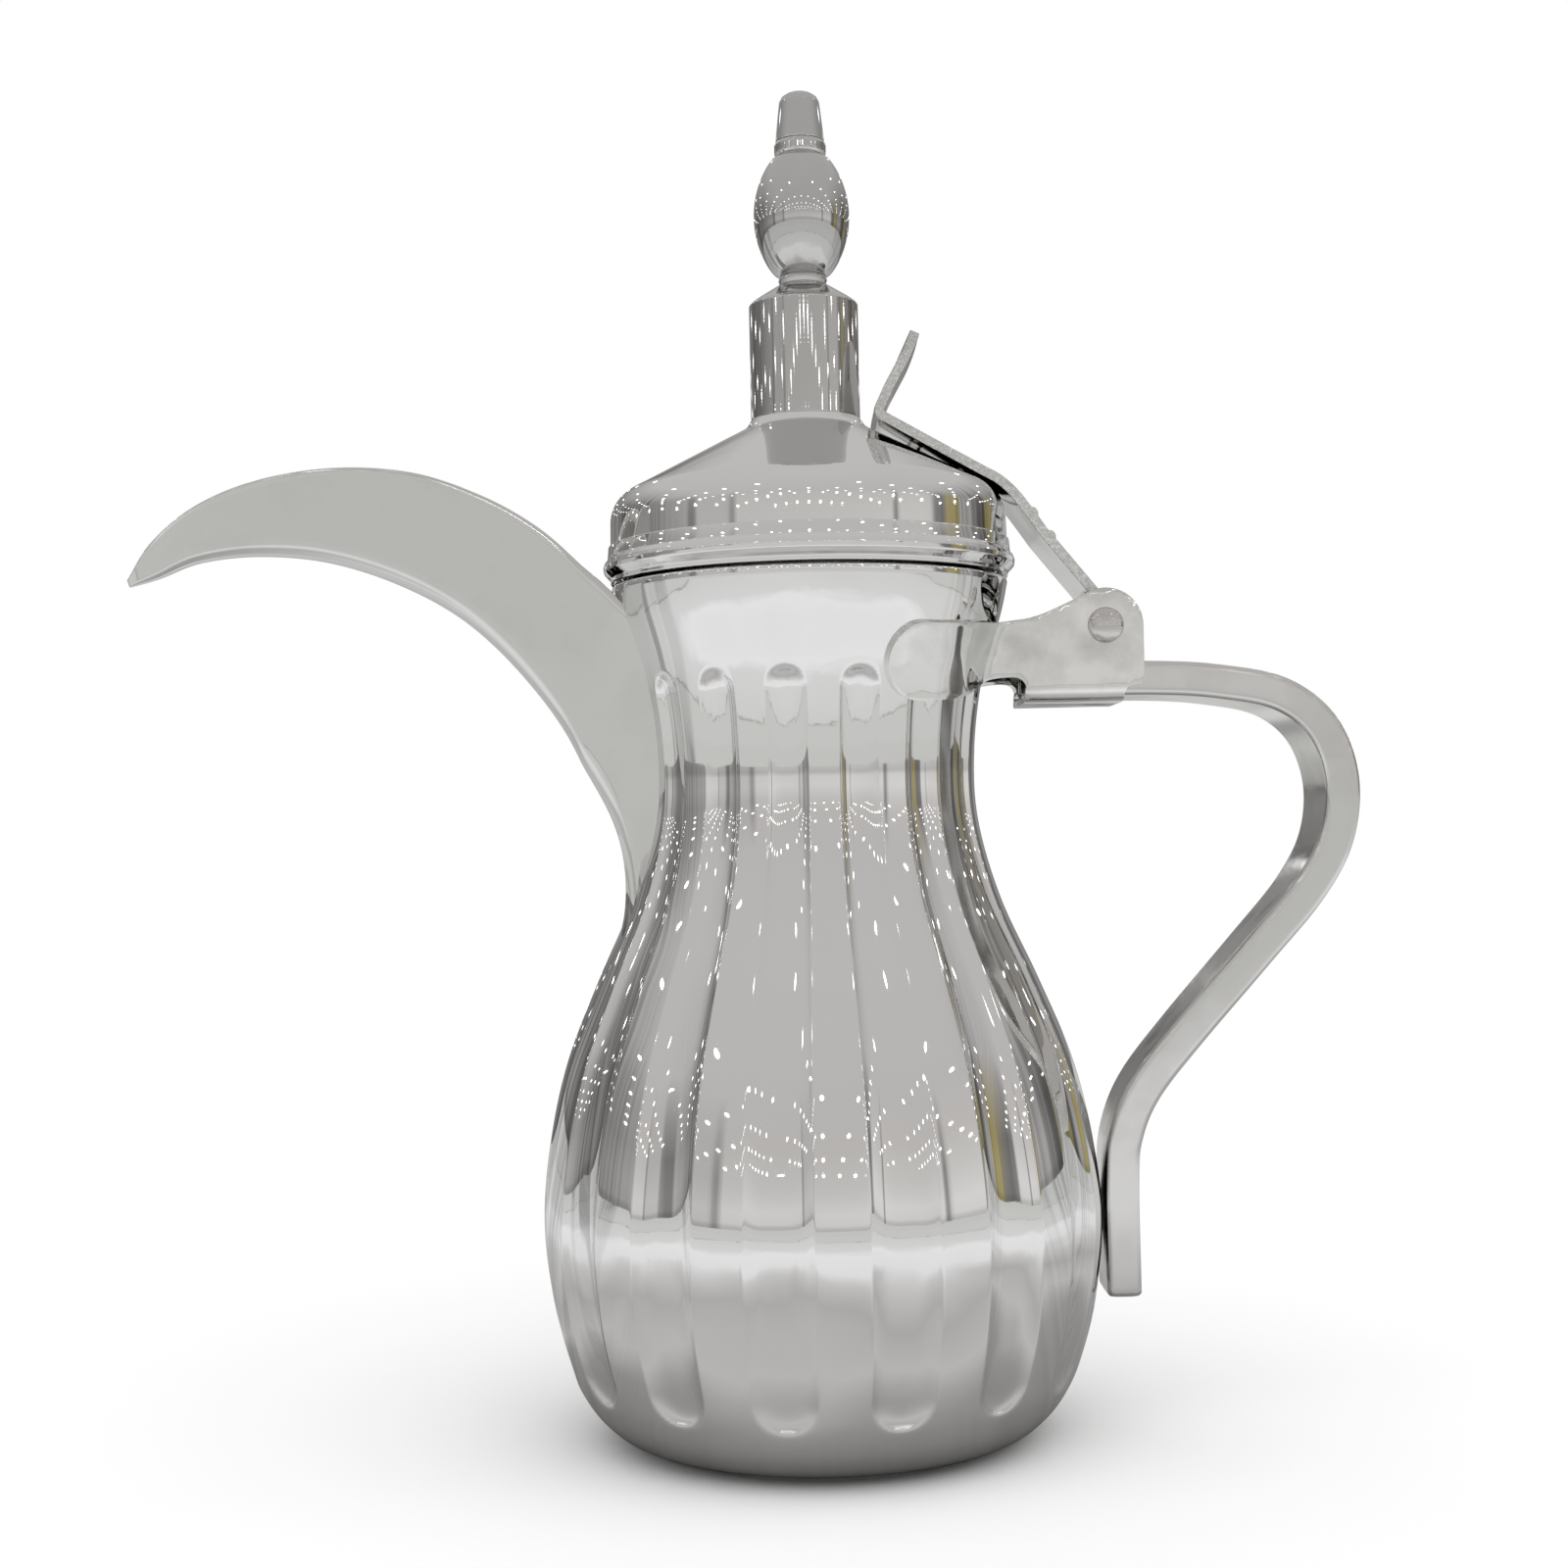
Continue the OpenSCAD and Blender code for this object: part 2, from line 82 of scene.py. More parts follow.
def round_corners(corners, closed=True, arc=5, margin=0.15):
    """Outline with each corner (x, y, radius) turned into an arc, flats kept flat by a point beside it."""
    n = len(corners)
    out = []
    for i, (x, y, radius) in enumerate(corners):
        p = Vector((x, y))
        if radius <= 0 or (not closed and i in (0, n - 1)):
            out.append((x, y))
            continue
        back = Vector(corners[i - 1][:2]) - p
        ahead = Vector(corners[(i + 1) % n][:2]) - p
        room = 0.45 * min(back.length, ahead.length)
        back.normalize()
        ahead.normalize()
        half = back.angle(ahead) / 2
        if half > math.pi / 2 - 0.03:
            out.append((x, y))
            continue
        cut = min(radius / math.tan(half), room)
        radius = cut * math.tan(half)
        centre = p + (back + ahead).normalized() * (radius / math.sin(half))
        first = p + back * cut - centre
        last = p + ahead * cut - centre
        turn = first.angle_signed(last)
        edge = min(margin, room - cut) if room > cut else 0
        if edge > 0.02:
            q = p + back * (cut + edge)
            out.append((q.x, q.y))
        for k in range(arc + 1):
            q = centre + Matrix.Rotation(-turn * k / arc, 2) @ first
            out.append((q.x, q.y))
        if edge > 0.02:
            q = p + ahead * (cut + edge)
            out.append((q.x, q.y))
    return out


def headings(line):
    """Unit directions along a line in the side plane."""
    step = np.gradient(np.asarray(line, float), axis=0)
    return step / np.linalg.norm(step, axis=1)[:, None]


# ---- finished pieces ----

def place_piece(name, verts, faces, body, metal, nodes=(), tidy=True):
    """Mesh in millimetres made into a smooth steel piece that rides on a body."""
    mesh = bpy.data.meshes.new(name)
    mesh.from_pydata([tuple(float(c) * MM for c in v) for v in verts], [], faces)
    if tidy:
        bm = bmesh.new()
        bm.from_mesh(mesh)
        bmesh.ops.remove_doubles(bm, verts=bm.verts, dist=1e-6)
        bmesh.ops.recalc_face_normals(bm, faces=bm.faces)
        bm.to_mesh(mesh)
        bm.free()
    mesh.shade_smooth()
    piece = bpy.data.objects.new(name, mesh)
    bpy.context.collection.objects.link(piece)
    mesh.materials.append(metal)
    return settle(piece, body, nodes)


def settle(piece, body, nodes=()):
    """Body and replaced nodes of a finished piece."""
    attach(piece, body)
    if nodes:
        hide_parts(*nodes)
    return piece


def bake(blank, name):
    """Plain mesh of a blank with its modifiers applied; the blank is removed."""
    bpy.context.view_layer.update()
    graph = bpy.context.evaluated_depsgraph_get()
    mesh = bpy.data.meshes.new_from_object(blank.evaluated_get(graph))
    piece = bpy.data.objects.new(name, mesh)
    bpy.context.collection.objects.link(piece)
    bpy.data.objects.remove(blank, do_unlink=True)
    mesh.name = name
    return piece


def lathe(profile, segments=160):
    """Rings of a closed profile of (radius, height) turned about the upright axis."""
    verts, rows = [], []
    for r, z in profile:
        if r < 1e-5:
            rows.append([len(verts)] * segments)
            verts.append((0, 0, z))
        else:
            rows.append(list(range(len(verts), len(verts) + segments)))
            for k in range(segments):
                a = 2 * math.pi * k / segments
                verts.append((r * math.cos(a), r * math.sin(a), z))
    faces = []
    n = len(rows)
    for j in range(n):
        low, high = rows[j], rows[(j + 1) % n]
        if low[0] == low[1] and high[0] == high[1]:
            continue
        for k in range(segments):
            m = (k + 1) % segments
            face = []
            for v in (low[k], low[m], high[m], high[k]):
                if v not in face:
                    face.append(v)
            if len(face) > 2:
                faces.append(face)
    return verts, faces


def turn_piece(name, corners, body, metal, nodes, segments=160):
    verts, faces = lathe(round_corners(corners), segments)
    return place_piece(name, verts, faces, body, metal, nodes)


def loft(rings, caps=True):
    """Closed rings of equally many points joined one to the next."""
    n = len(rings[0])
    verts = [p for ring in rings for p in ring]
    faces = []
    for j in range(len(rings) - 1):
        for i in range(n):
            k = (i + 1) % n
            faces.append([j * n + i, j * n + k, (j + 1) * n + k, (j + 1) * n + i])
    if caps:
        for start in (0, (len(rings) - 1) * n):
            for i in range(n // 2 - 1):
                far = n - 1 - i
                faces.append([start + i, start + i + 1, start + far - 1, start + far])
    return verts, faces


def closed_loft(rings):
    """Skin over equal rings, each end closed to the middle of its ring."""
    n = len(rings[0])
    verts, faces = loft(rings, caps=False)
    for ring, start in ((rings[0], 0), (rings[-1], (len(rings) - 1) * n)):
        verts.append(tuple(np.mean(np.array(ring), axis=0)))
        faces += [[start + i, start + (i + 1) % n, len(verts) - 1] for i in range(n)]
    return verts, faces


# ---- steel finishes ----

def new_group(name, inputs, outputs):
    group = bpy.data.node_groups.new(name, "ShaderNodeTree")
    kinds = {"value": "NodeSocketFloat", "colour": "NodeSocketColor", "vector": "NodeSocketVector"}
    for label, kind, start in inputs:
        socket = group.interface.new_socket(name=label, in_out="INPUT", socket_type=kinds[kind])
        socket.default_value = start
    for label, kind in outputs:
        group.interface.new_socket(name=label, in_out="OUTPUT", socket_type=kinds[kind])
    entry = group.nodes.new("NodeGroupInput")
    leave = group.nodes.new("NodeGroupOutput")
    return group, entry, leave


def add_node(tree, kind, settings=None, **links):
    """Node with its settings made and its inputs set or linked by name."""
    node = tree.nodes.new(kind)
    for key, value in (settings or {}).items():
        setattr(node, key, value)
    for label, value in links.items():
        socket = node.inputs[int(label[1:])] if label[0] == "i" and label[1:].isdigit() \
            else node.inputs[label.replace("_", " ")]
        if isinstance(value, bpy.types.NodeSocket):
            tree.links.new(value, socket)
        else:
            socket.default_value = value
    return node


def sum_up(tree, op, a, b=0.0, c=None):
    links = {"i0": a, "i1": b}
    if c is not None:
        links["i2"] = c
    return add_node(tree, "ShaderNodeMath", {"operation": op}, **links).outputs[0]


def polish_group():
    """Hand polish: slow waves left by the wheel, fine hairlines and hazy fingermarks."""
    group, entry, leave = new_group(
        "hand_polish",
        [("Wave Size", "value", 30.0), ("Wave Height", "value", 0.6), ("Hairline Height", "value", 0.02),
         ("Clean Roughness", "value", 0.03), ("Mark Roughness", "value", 0.1),
         ("Mark Share", "value", 0.45), ("Steel", "colour", (0.80, 0.797, 0.795, 1)),
         ("Tarnish", "colour", (0.745, 0.735, 0.72, 1))],
        [("Height", "value"), ("Roughness", "value"), ("Colour", "colour")])
    at = add_node(group, "ShaderNodeTexCoord").outputs["Object"]
    waves = add_node(group, "ShaderNodeTexNoise", Vector=at, Scale=entry.outputs["Wave Size"],
                     Detail=1.0, Roughness=0.35).outputs["Fac"]
    spun = add_node(group, "ShaderNodeMapping", Vector=at, Scale=(60.0, 60.0, 2600.0)).outputs["Vector"]
    hairs = add_node(group, "ShaderNodeTexNoise", Vector=spun, Scale=1.0, Detail=3.0).outputs["Fac"]
    marks = add_node(group, "ShaderNodeTexNoise", Vector=at, Scale=42.0, Detail=5.0,
                     Roughness=0.62).outputs["Fac"]
    specks = add_node(group, "ShaderNodeTexNoise", Vector=at, Scale=900.0, Detail=2.0).outputs["Fac"]
    edge = sum_up(group, "SUBTRACT", 1.0, entry.outputs["Mark Share"])
    mask = add_node(group, "ShaderNodeMapRange", Value=marks, From_Min=edge,
                    From_Max=sum_up(group, "ADD", edge, 0.22)).outputs["Result"]
    waves = sum_up(group, "MULTIPLY", waves, entry.outputs["Wave Height"])
    height = sum_up(group, "MULTIPLY_ADD", hairs, entry.outputs["Hairline Height"], waves)
    rough = add_node(group, "ShaderNodeMapRange", Value=mask, To_Min=entry.outputs["Clean Roughness"],
                     To_Max=entry.outputs["Mark Roughness"]).outputs["Result"]
    grain = sum_up(group, "MULTIPLY", sum_up(group, "SUBTRACT", specks, 0.5), 0.03)
    rough = sum_up(group, "MAXIMUM", sum_up(group, "ADD", rough, grain), 0.012)
    stain = add_node(group, "ShaderNodeMix", {"data_type": "RGBA"})
    group.links.new(sum_up(group, "MULTIPLY", mask, 0.6), stain.inputs[0])
    group.links.new(entry.outputs["Steel"], stain.inputs[6])
    group.links.new(entry.outputs["Tarnish"], stain.inputs[7])
    group.links.new(height, leave.inputs["Height"])
    group.links.new(rough, leave.inputs["Roughness"])
    group.links.new(stain.outputs[2], leave.inputs["Colour"])
    return group


def shear_group():
    """Sheared sheet edges: torn bands where the shape's own edge mark is set."""
    group, entry, leave = new_group(
        "sheared_edge",
        [("Height In", "value", 0.0), ("Roughness In", "value", 0.05),
         ("Colour In", "colour", (0.8, 0.8, 0.8, 1)), ("Tear Height", "value", 1.3),
         ("Tear Roughness", "value", 0.22)],
        [("Height", "value"), ("Roughness", "value"), ("Colour", "colour")])
    mark = add_node(group, "ShaderNodeAttribute", {"attribute_name": "cut_edge"}).outputs["Fac"]
    at = add_node(group, "ShaderNodeTexCoord").outputs["Object"]
    tears = add_node(group, "ShaderNodeTexNoise", Vector=at, Scale=750.0, Detail=4.0,
                     Roughness=0.7).outputs["Fac"]
    pits = add_node(group, "ShaderNodeTexVoronoi", Vector=at, Scale=1100.0).outputs["Distance"]
    torn = sum_up(group, "MULTIPLY", sum_up(group, "ADD", tears, pits), mark)
    height = sum_up(group, "MULTIPLY_ADD", torn, entry.outputs["Tear Height"],
                    entry.outputs["Height In"])
    rough = sum_up(group, "MULTIPLY_ADD", torn, entry.outputs["Tear Roughness"],
                   entry.outputs["Roughness In"])
    shade = add_node(group, "ShaderNodeMix", {"data_type": "RGBA"})
    group.links.new(sum_up(group, "MULTIPLY", torn, 0.45), shade.inputs[0])
    group.links.new(entry.outputs["Colour In"], shade.inputs[6])
    shade.inputs[7].default_value = (0.52, 0.52, 0.50, 1)
    group.links.new(height, leave.inputs["Height"])
    group.links.new(rough, leave.inputs["Roughness"])
    group.links.new(shade.outputs[2], leave.inputs["Colour"])
    return group


POLISH = polish_group()
SHEAR = shear_group()


def steel(name, depth, sheared=False, **finish):
    """Steel of one finish: the polish group feeds colour, roughness and bump."""
    metal = bpy.data.materials.new(name)
    metal.use_nodes = True
    tree = metal.node_tree
    shader = tree.nodes["Principled BSDF"]
    shader.inputs["Metallic"].default_value = 1.0
    look = add_node(tree, "ShaderNodeGroup", {"node_tree": POLISH}, **finish)
    if sheared:
        look = add_node(tree, "ShaderNodeGroup", {"node_tree": SHEAR}, Height_In=look.outputs["Height"],
                        Roughness_In=look.outputs["Roughness"], Colour_In=look.outputs["Colour"])
    bump = add_node(tree, "ShaderNodeBump", Strength=1.0, Distance=depth,
                    Height=look.outputs["Height"])
    tree.links.new(look.outputs["Colour"], shader.inputs["Base Color"])
    tree.links.new(look.outputs["Roughness"], shader.inputs["Roughness"])
    tree.links.new(bump.outputs["Normal"], shader.inputs["Normal"])
    return metal


MIRROR = steel("mirror_body_steel", 0.0002, Wave_Size=32.0, Wave_Height=0.5, Hairline_Height=0.004,
               Clean_Roughness=0.022, Mark_Roughness=0.05, Mark_Share=0.42)
SPUN = steel("spun_lid_steel", 0.0002, Wave_Size=26.0, Wave_Height=0.25, Hairline_Height=0.006,
             Clean_Roughness=0.02, Mark_Roughness=0.055, Mark_Share=0.42)
TURNED = steel("turned_finial_steel", 0.0002, Wave_Size=40.0, Wave_Height=0.4, Hairline_Height=0.006,
               Clean_Roughness=0.02, Mark_Roughness=0.05, Steel=(0.58, 0.577, 0.572, 1),
               Tarnish=(0.47, 0.463, 0.455, 1))
BEAK_STEEL = steel("drawn_beak_steel", 0.0002, Wave_Size=38.0, Wave_Height=0.5, Hairline_Height=0.0,
                   Clean_Roughness=0.03, Mark_Roughness=0.09, Mark_Share=0.46,
                   Steel=(0.70, 0.702, 0.69, 1), Tarnish=(0.62, 0.62, 0.60, 1))
FORGED = steel("polished_bar_steel", 0.0002, Wave_Size=85.0, Wave_Height=0.8, Hairline_Height=0.004,
               Clean_Roughness=0.10, Mark_Roughness=0.24, Mark_Share=0.54,
               Steel=(0.68, 0.675, 0.665, 1), Tarnish=(0.60, 0.585, 0.56, 1))
BRACKET_STEEL = steel("pressed_bracket_steel", 0.0002, True, Wave_Size=80.0, Wave_Height=3.2,
                      Hairline_Height=0.0, Clean_Roughness=0.04, Mark_Roughness=0.12,
                      Mark_Share=0.54, Steel=(0.79, 0.792, 0.78, 1), Tarnish=(0.50, 0.498, 0.485, 1))
STRAP_STEEL = steel("sheared_strap_steel", 0.0002, True, Wave_Size=60.0, Wave_Height=0.9,
                    Hairline_Height=0.004, Clean_Roughness=0.06, Mark_Roughness=0.16,
                    Mark_Share=0.5, Steel=(0.77, 0.772, 0.765, 1))
RIVET_STEEL = steel("headed_rivet_steel", 0.0001, Wave_Size=190.0, Wave_Height=0.6,
                    Hairline_Height=0.0, Clean_Roughness=0.07, Mark_Roughness=0.18,
                    Mark_Share=0.5, Steel=(0.62, 0.612, 0.6, 1), Tarnish=(0.5, 0.485, 0.46, 1))


# ---- geometry node trees ----

class MakerTree:
    """Geometry tree with named inputs."""

    def __init__(self, name):
        self.group = bpy.data.node_groups.new(name, "GeometryNodeTree")
        face = self.group.interface
        face.new_socket(name="Blank", in_out="INPUT", socket_type="NodeSocketGeometry")
        face.new_socket(name="Piece", in_out="OUTPUT", socket_type="NodeSocketGeometry")
        self.entry = self.group.nodes.new("NodeGroupInput")
        self.leave = self.group.nodes.new("NodeGroupOutput")

    def ask(self, name, kind="NodeSocketFloat"):
        self.group.interface.new_socket(name=name, in_out="INPUT", socket_type=kind)
        return self.entry.outputs[name]

    def node(self, kind, settings=None, **links):
        return add_node(self.group, kind, settings, **links)

    def sum(self, op, a, b=0.0, c=None):
        return sum_up(self.group, op, a, b, c)

    def end(self, shape, metal):
        """Realized, smooth and dressed in its metal."""
        real = self.node("GeometryNodeRealizeInstances", Geometry=shape).outputs[0]
        smooth = self.node("GeometryNodeSetShadeSmooth", Geometry=real).outputs[0]
        dressed = self.node("GeometryNodeSetMaterial", Geometry=smooth, Material=metal).outputs[0]
        self.group.links.new(dressed, self.leave.inputs["Piece"])


def run_tree(blank, tree, name, **values):
    """Runs a tree on a blank with its inputs set by identifier, and bakes the result."""
    work = blank.modifiers.new(tree.group.name, "NODES")
    work.node_group = tree.group
    for item in tree.group.interface.items_tree:
        if item.in_out == "INPUT" and item.name.replace(" ", "_") in values:
            work[item.identifier] = values[item.name.replace(" ", "_")]
    return bake(blank, name)


def flute_tree():
    """Presses upright channels with round ends into a plain turned wall."""
    t = MakerTree("press_flutes")
    count, turn, half = t.ask("Flutes"), t.ask("Turn"), t.ask("Half Angle")
    depth, soft = t.ask("Depth"), t.ask("Arris")
    low, high = t.ask("Lower Centre"), t.ask("Upper Centre")
    metal = t.ask("Metal", "NodeSocketMaterial")
    place = t.node("GeometryNodeInputPosition").outputs[0]
    xyz = t.node("ShaderNodeSeparateXYZ", Vector=place).outputs
    radius = t.sum("SQRT", t.sum("MULTIPLY_ADD", xyz[0], xyz[0], t.sum("MULTIPLY", xyz[1], xyz[1])))
    angle = t.sum("SUBTRACT", t.sum("ARCTAN2", xyz[1], xyz[0]), turn)
    pitch = t.sum("DIVIDE", 2 * math.pi, count)
    cell = t.sum("ROUND", t.sum("DIVIDE", angle, pitch))
    off = t.sum("SUBTRACT", angle, t.sum("MULTIPLY", cell, pitch))
    across = t.sum("DIVIDE", off, half)
    width = t.sum("MULTIPLY", radius, t.sum("SINE", half))
    past = t.sum("MAXIMUM", t.sum("SUBTRACT", low, xyz[2]), t.sum("SUBTRACT", xyz[2], high))
    along = t.sum("DIVIDE", t.sum("MAXIMUM", past, 0.0), width)
    reach = t.sum("MULTIPLY_ADD", across, across, t.sum("MULTIPLY", along, along))
    rest = t.sum("SUBTRACT", 1.0, t.sum("POWER", reach, t.ask("Edge Power")))
    root = t.sum("SQRT", t.sum("MULTIPLY_ADD", rest, rest, t.sum("MULTIPLY", soft, soft)))
    press = t.sum("MULTIPLY", t.sum("ADD", rest, root), t.sum("MULTIPLY", depth, -0.5))
    share = t.sum("DIVIDE", press, radius)
    move = t.node("ShaderNodeCombineXYZ", X=t.sum("MULTIPLY", xyz[0], share),
                  Y=t.sum("MULTIPLY", xyz[1], share)).outputs[0]
    pressed = t.node("GeometryNodeSetPosition", Geometry=t.entry.outputs["Blank"],
                     Offset=move).outputs[0]
    t.end(pressed, metal)
    return t


def fastener_tree():
    """Sets one fastener on each point, leaned by the point's own angles."""
    t = MakerTree("set_fasteners")
    model = t.ask("Fastener", "NodeSocketObject")
    size = t.ask("Size")
    metal = t.ask("Metal", "NodeSocketMaterial")
    shape = t.node("GeometryNodeObjectInfo", Object=model).outputs["Geometry"]
    lean = t.node("GeometryNodeInputNamedAttribute", {"data_type": "FLOAT_VECTOR"}, Name="lean")
    turned = t.node("FunctionNodeEulerToRotation", Euler=lean.outputs["Attribute"]).outputs[0]
    each = t.node("GeometryNodeInstanceOnPoints", Points=t.entry.outputs["Blank"], Instance=shape,
                  Rotation=turned, Scale=size).outputs[0]
    t.end(each, metal)
    return t


FLUTES = flute_tree()
FASTENERS = fastener_tree()


def set_fasteners(name, corners, points, leans, metal, segments=48):
    """Fasteners turned from one profile, set at points with their leans."""
    verts, faces = lathe(round_corners(corners), segments)
    mesh = bpy.data.meshes.new("fastener")
    mesh.from_pydata([tuple(c * MM for c in v) for v in verts], [], faces)
    bm = bmesh.new()
    bm.from_mesh(mesh)
    bmesh.ops.recalc_face_normals(bm, faces=bm.faces)
    bm.to_mesh(mesh)
    bm.free()
    model = bpy.data.objects.new("fastener", mesh)
    bpy.context.collection.objects.link(model)
    spots = bpy.data.meshes.new("spots")
    spots.from_pydata([tuple(c * MM for c in p) for p in points], [], [])
    lean = spots.attributes.new("lean", "FLOAT_VECTOR", "POINT")
    lean.data.foreach_set("vector", [a for q in leans for a in q])
    blank = bpy.data.objects.new("spots", spots)
    bpy.context.collection.objects.link(blank)
    piece = run_tree(blank, FASTENERS, name, Fastener=model, Size=1.0, Metal=metal)
    bpy.data.objects.remove(model, do_unlink=True)
    return piece


# ---- body ----

BODY_CURVE = [(34, 0.3), (41, 2), (45.4, 5.2), (48.8, 9.6), (51.6, 15.8), (54.7, 27.4),
              (56.4, 43.4), (54.9, 59.4), (51.2, 75.4), (44.8, 91.4), (37.7, 107.4),
              (33.5, 123), (33, 137), (35, 152), (38.9, 165), (40.4, MOUTH)]
body_line = lay_curve(BODY_CURVE, 12)
WALL = 1.2
FLUTE_COUNT, FLUTE_TURN, FLUTE_HALF = 15, -3.0, 6.84
FLUTE_LOW, FLUTE_HIGH = 12.0, 153.0
PORT = (107.0, 151.0)


def body_radius(z):
    return float(np.interp(z, body_line[:, 1], body_line[:, 0]))


def wall_inside(z):
    """Inner wall point (radius, height) facing the outer one at this height."""
    slope = (body_radius(z + 0.3) - body_radius(z - 0.3)) / 0.6
    length = math.hypot(1, slope)
    return body_radius(z) - WALL / length, z + WALL * slope / length


def spaced(*spans):
    """Heights covering spans of (from, to, step) with no height twice."""
    rows = []
    for a, b, step in spans:
        rows += list(np.linspace(a, b, max(2, round((b - a) / step) + 1)))
    return sorted(set(round(r, 4) for r in rows))


def make_body():
    side = [0, 1.3, 2.6, 3.8, 4.8, 5.7, 6.25, 6.6, 6.84, 7.08, 7.45, 8.1, 9.2, 10.6]
    pitch = 360 / FLUTE_COUNT
    within = sorted([-a for a in side if a] + side) + [pitch / 2]
    angles = [FLUTE_TURN + pitch * k + a for k in range(FLUTE_COUNT) for a in within]
    n = len(angles)
    out_rows = spaced((0.3, 10, 0.8), (10, 23, 0.55), (23, 138, 2.3), (138, 155.5, 0.55),
                      (155.5, MOUTH - 0.6, 1.3))
    out_rows = sorted(set(out_rows + list(PORT)))
    in_rows = sorted(set(spaced((0.3, PORT[0], 4.2), (PORT[1], MOUTH - 0.6, 2.5))
                         + [r for r in out_rows if PORT[0] <= r <= PORT[1]]))
    rings = [(body_radius(z), z) for z in out_rows]
    lip = body_radius(MOUTH - 0.6) - WALL / 2
    edge = [(lip + 0.6 * math.cos(math.radians(a)), MOUTH - 0.6 + 0.6 * math.sin(math.radians(a)))
            for a in (36, 72, 108, 144)]
    inner = [wall_inside(z) for z in in_rows]
    inner[-1] = (lip - 0.6, MOUTH - 0.6)
    rings = rings + edge + inner[::-1]
    cos = [math.cos(math.radians(a)) for a in angles]
    sin = [math.sin(math.radians(a)) for a in angles]
    verts = [(r * cos[i], r * sin[i], z) for r, z in rings for i in range(n)]
    heights_out = out_rows
    first_in = len(out_rows) + len(edge)
    last_in = len(rings) - 1

    def open_cell(low, high, i):
        middle = ((angles[i] + (angles[i + 1] if i + 1 < n else angles[0] + 360)) / 2) % 360
        return low >= PORT[0] and high <= PORT[1] and abs(middle - 180) < 13

    faces = []
    walls = [(j, heights_out[j], heights_out[j + 1]) for j in range(len(out_rows) - 1)]
    walls += [(j, None, None) for j in range(len(out_rows) - 1, first_in)]
    for j in range(first_in, last_in):
        k = len(in_rows) - 1 - (j - first_in)
        walls.append((j, in_rows[k - 1], in_rows[k]))
    for j, low, high in walls:
        for i in range(n):
            if low is not None and open_cell(low, high, i):
                continue
            m = (i + 1) % n
            faces.append([j * n + i, j * n + m, (j + 1) * n + m, (j + 1) * n + i])
    for i in range(n):
        m = (i + 1) % n
        faces.append([last_in * n + i, last_in * n + m, m, i])
    out_at = {z: j for j, z in enumerate(out_rows)}
    in_at = {z: last_in - k for k, z in enumerate(in_rows)}
    shared = [z for z in out_rows if PORT[0] <= z <= PORT[1]]
    cut = [i for i in range(n) if open_cell(shared[0], shared[1], i)]
    for i in cut:
        m = (i + 1) % n
        for z in (shared[0], shared[-1]):
            a, b = out_at[z] * n, in_at[z] * n
            faces.append([a + i, a + m, b + m, b + i])
    for i in (cut[0], (cut[-1] + 1) % n):
        for z0, z1 in zip(shared, shared[1:]):
            faces.append([out_at[z0] * n + i, out_at[z1] * n + i, in_at[z1] * n + i,
                          in_at[z0] * n + i])
    mesh = bpy.data.meshes.new("body_blank")
    mesh.from_pydata([tuple(c * MM for c in v) for v in verts], [], faces)
    bm = bmesh.new()
    bm.from_mesh(mesh)
    bmesh.ops.recalc_face_normals(bm, faces=bm.faces)
    bm.to_mesh(mesh)
    bm.free()
    blank = bpy.data.objects.new("body_blank", mesh)
    bpy.context.collection.objects.link(blank)
    half = math.sin(math.radians(FLUTE_HALF))
    piece = run_tree(
        blank, FLUTES, "fluted_body", Flutes=float(FLUTE_COUNT), Turn=math.radians(FLUTE_TURN),
        Half_Angle=math.radians(FLUTE_HALF), Depth=1.5 * MM, Arris=0.06, Edge_Power=1.5,
        Lower_Centre=(FLUTE_LOW + body_radius(FLUTE_LOW) * half) * MM,
        Upper_Centre=(FLUTE_HIGH - body_radius(FLUTE_HIGH) * half) * MM, Metal=MIRROR)
    settle(piece, "pot", ["body_shell"])


make_body()
turn_piece("base_disc", [(0, 0, 0), (34.3, 0, 0.3), (34.6, 0.4, 0.2), (34.6, 1.4, 0.25), (0, 1.4, 0)],
           "pot", MIRROR, ["base_plate"])


# ---- beak ----

BEAK_TOP = [(-139.2, 175.6), (-133.5, 183.2), (-124, 190.2), (-111, 194.9), (-95, 196.8),
            (-79, 195.2), (-65, 190), (-54.5, 183.7), (-47, 177), (-42.2, 171.5), (-39.4, 166.5)]
BEAK_KEEL = [(-138.8, 174.2), (-133, 175.8), (-124.5, 178.9), (-112.5, 180), (-98.5, 178.5),
             (-84, 173.6), (-70.5, 165.8), (-58.5, 154), (-48.5, 139.3), (-43, 122), (-42.6, 98)]


def flute_depth(z, angle):
    pitch = 360 / FLUTE_COUNT
    off = (angle - FLUTE_TURN) - pitch * round((angle - FLUTE_TURN) / pitch)
    sine = math.sin(math.radians(FLUTE_HALF))
    half = body_radius(z) * sine
    past = max(FLUTE_LOW + body_radius(FLUTE_LOW) * sine - z,
               z - FLUTE_HIGH + body_radius(FLUTE_HIGH) * sine, 0)
    return 1.5 * max(0, 1 - (off / FLUTE_HALF) ** 2 - (past / half) ** 2)


BLEND_RINGS = 20


def beak_section(a):
    """Height and half width, as shares, of the beak wall: nearly flat sides over a tight keel."""
    share = a / (math.pi / 2)
    keel_zone = 0.13
    if share < 0.5:
        turn = share * math.pi
        height = keel_zone * (1 - max(math.cos(turn), 0) ** 0.85)
        return height, (0.68 + 0.32 * height) * math.sin(turn) ** 0.85
    height = keel_zone + (1 - keel_zone) * (2 * share - 1)
    return height, 0.68 + 0.32 * height


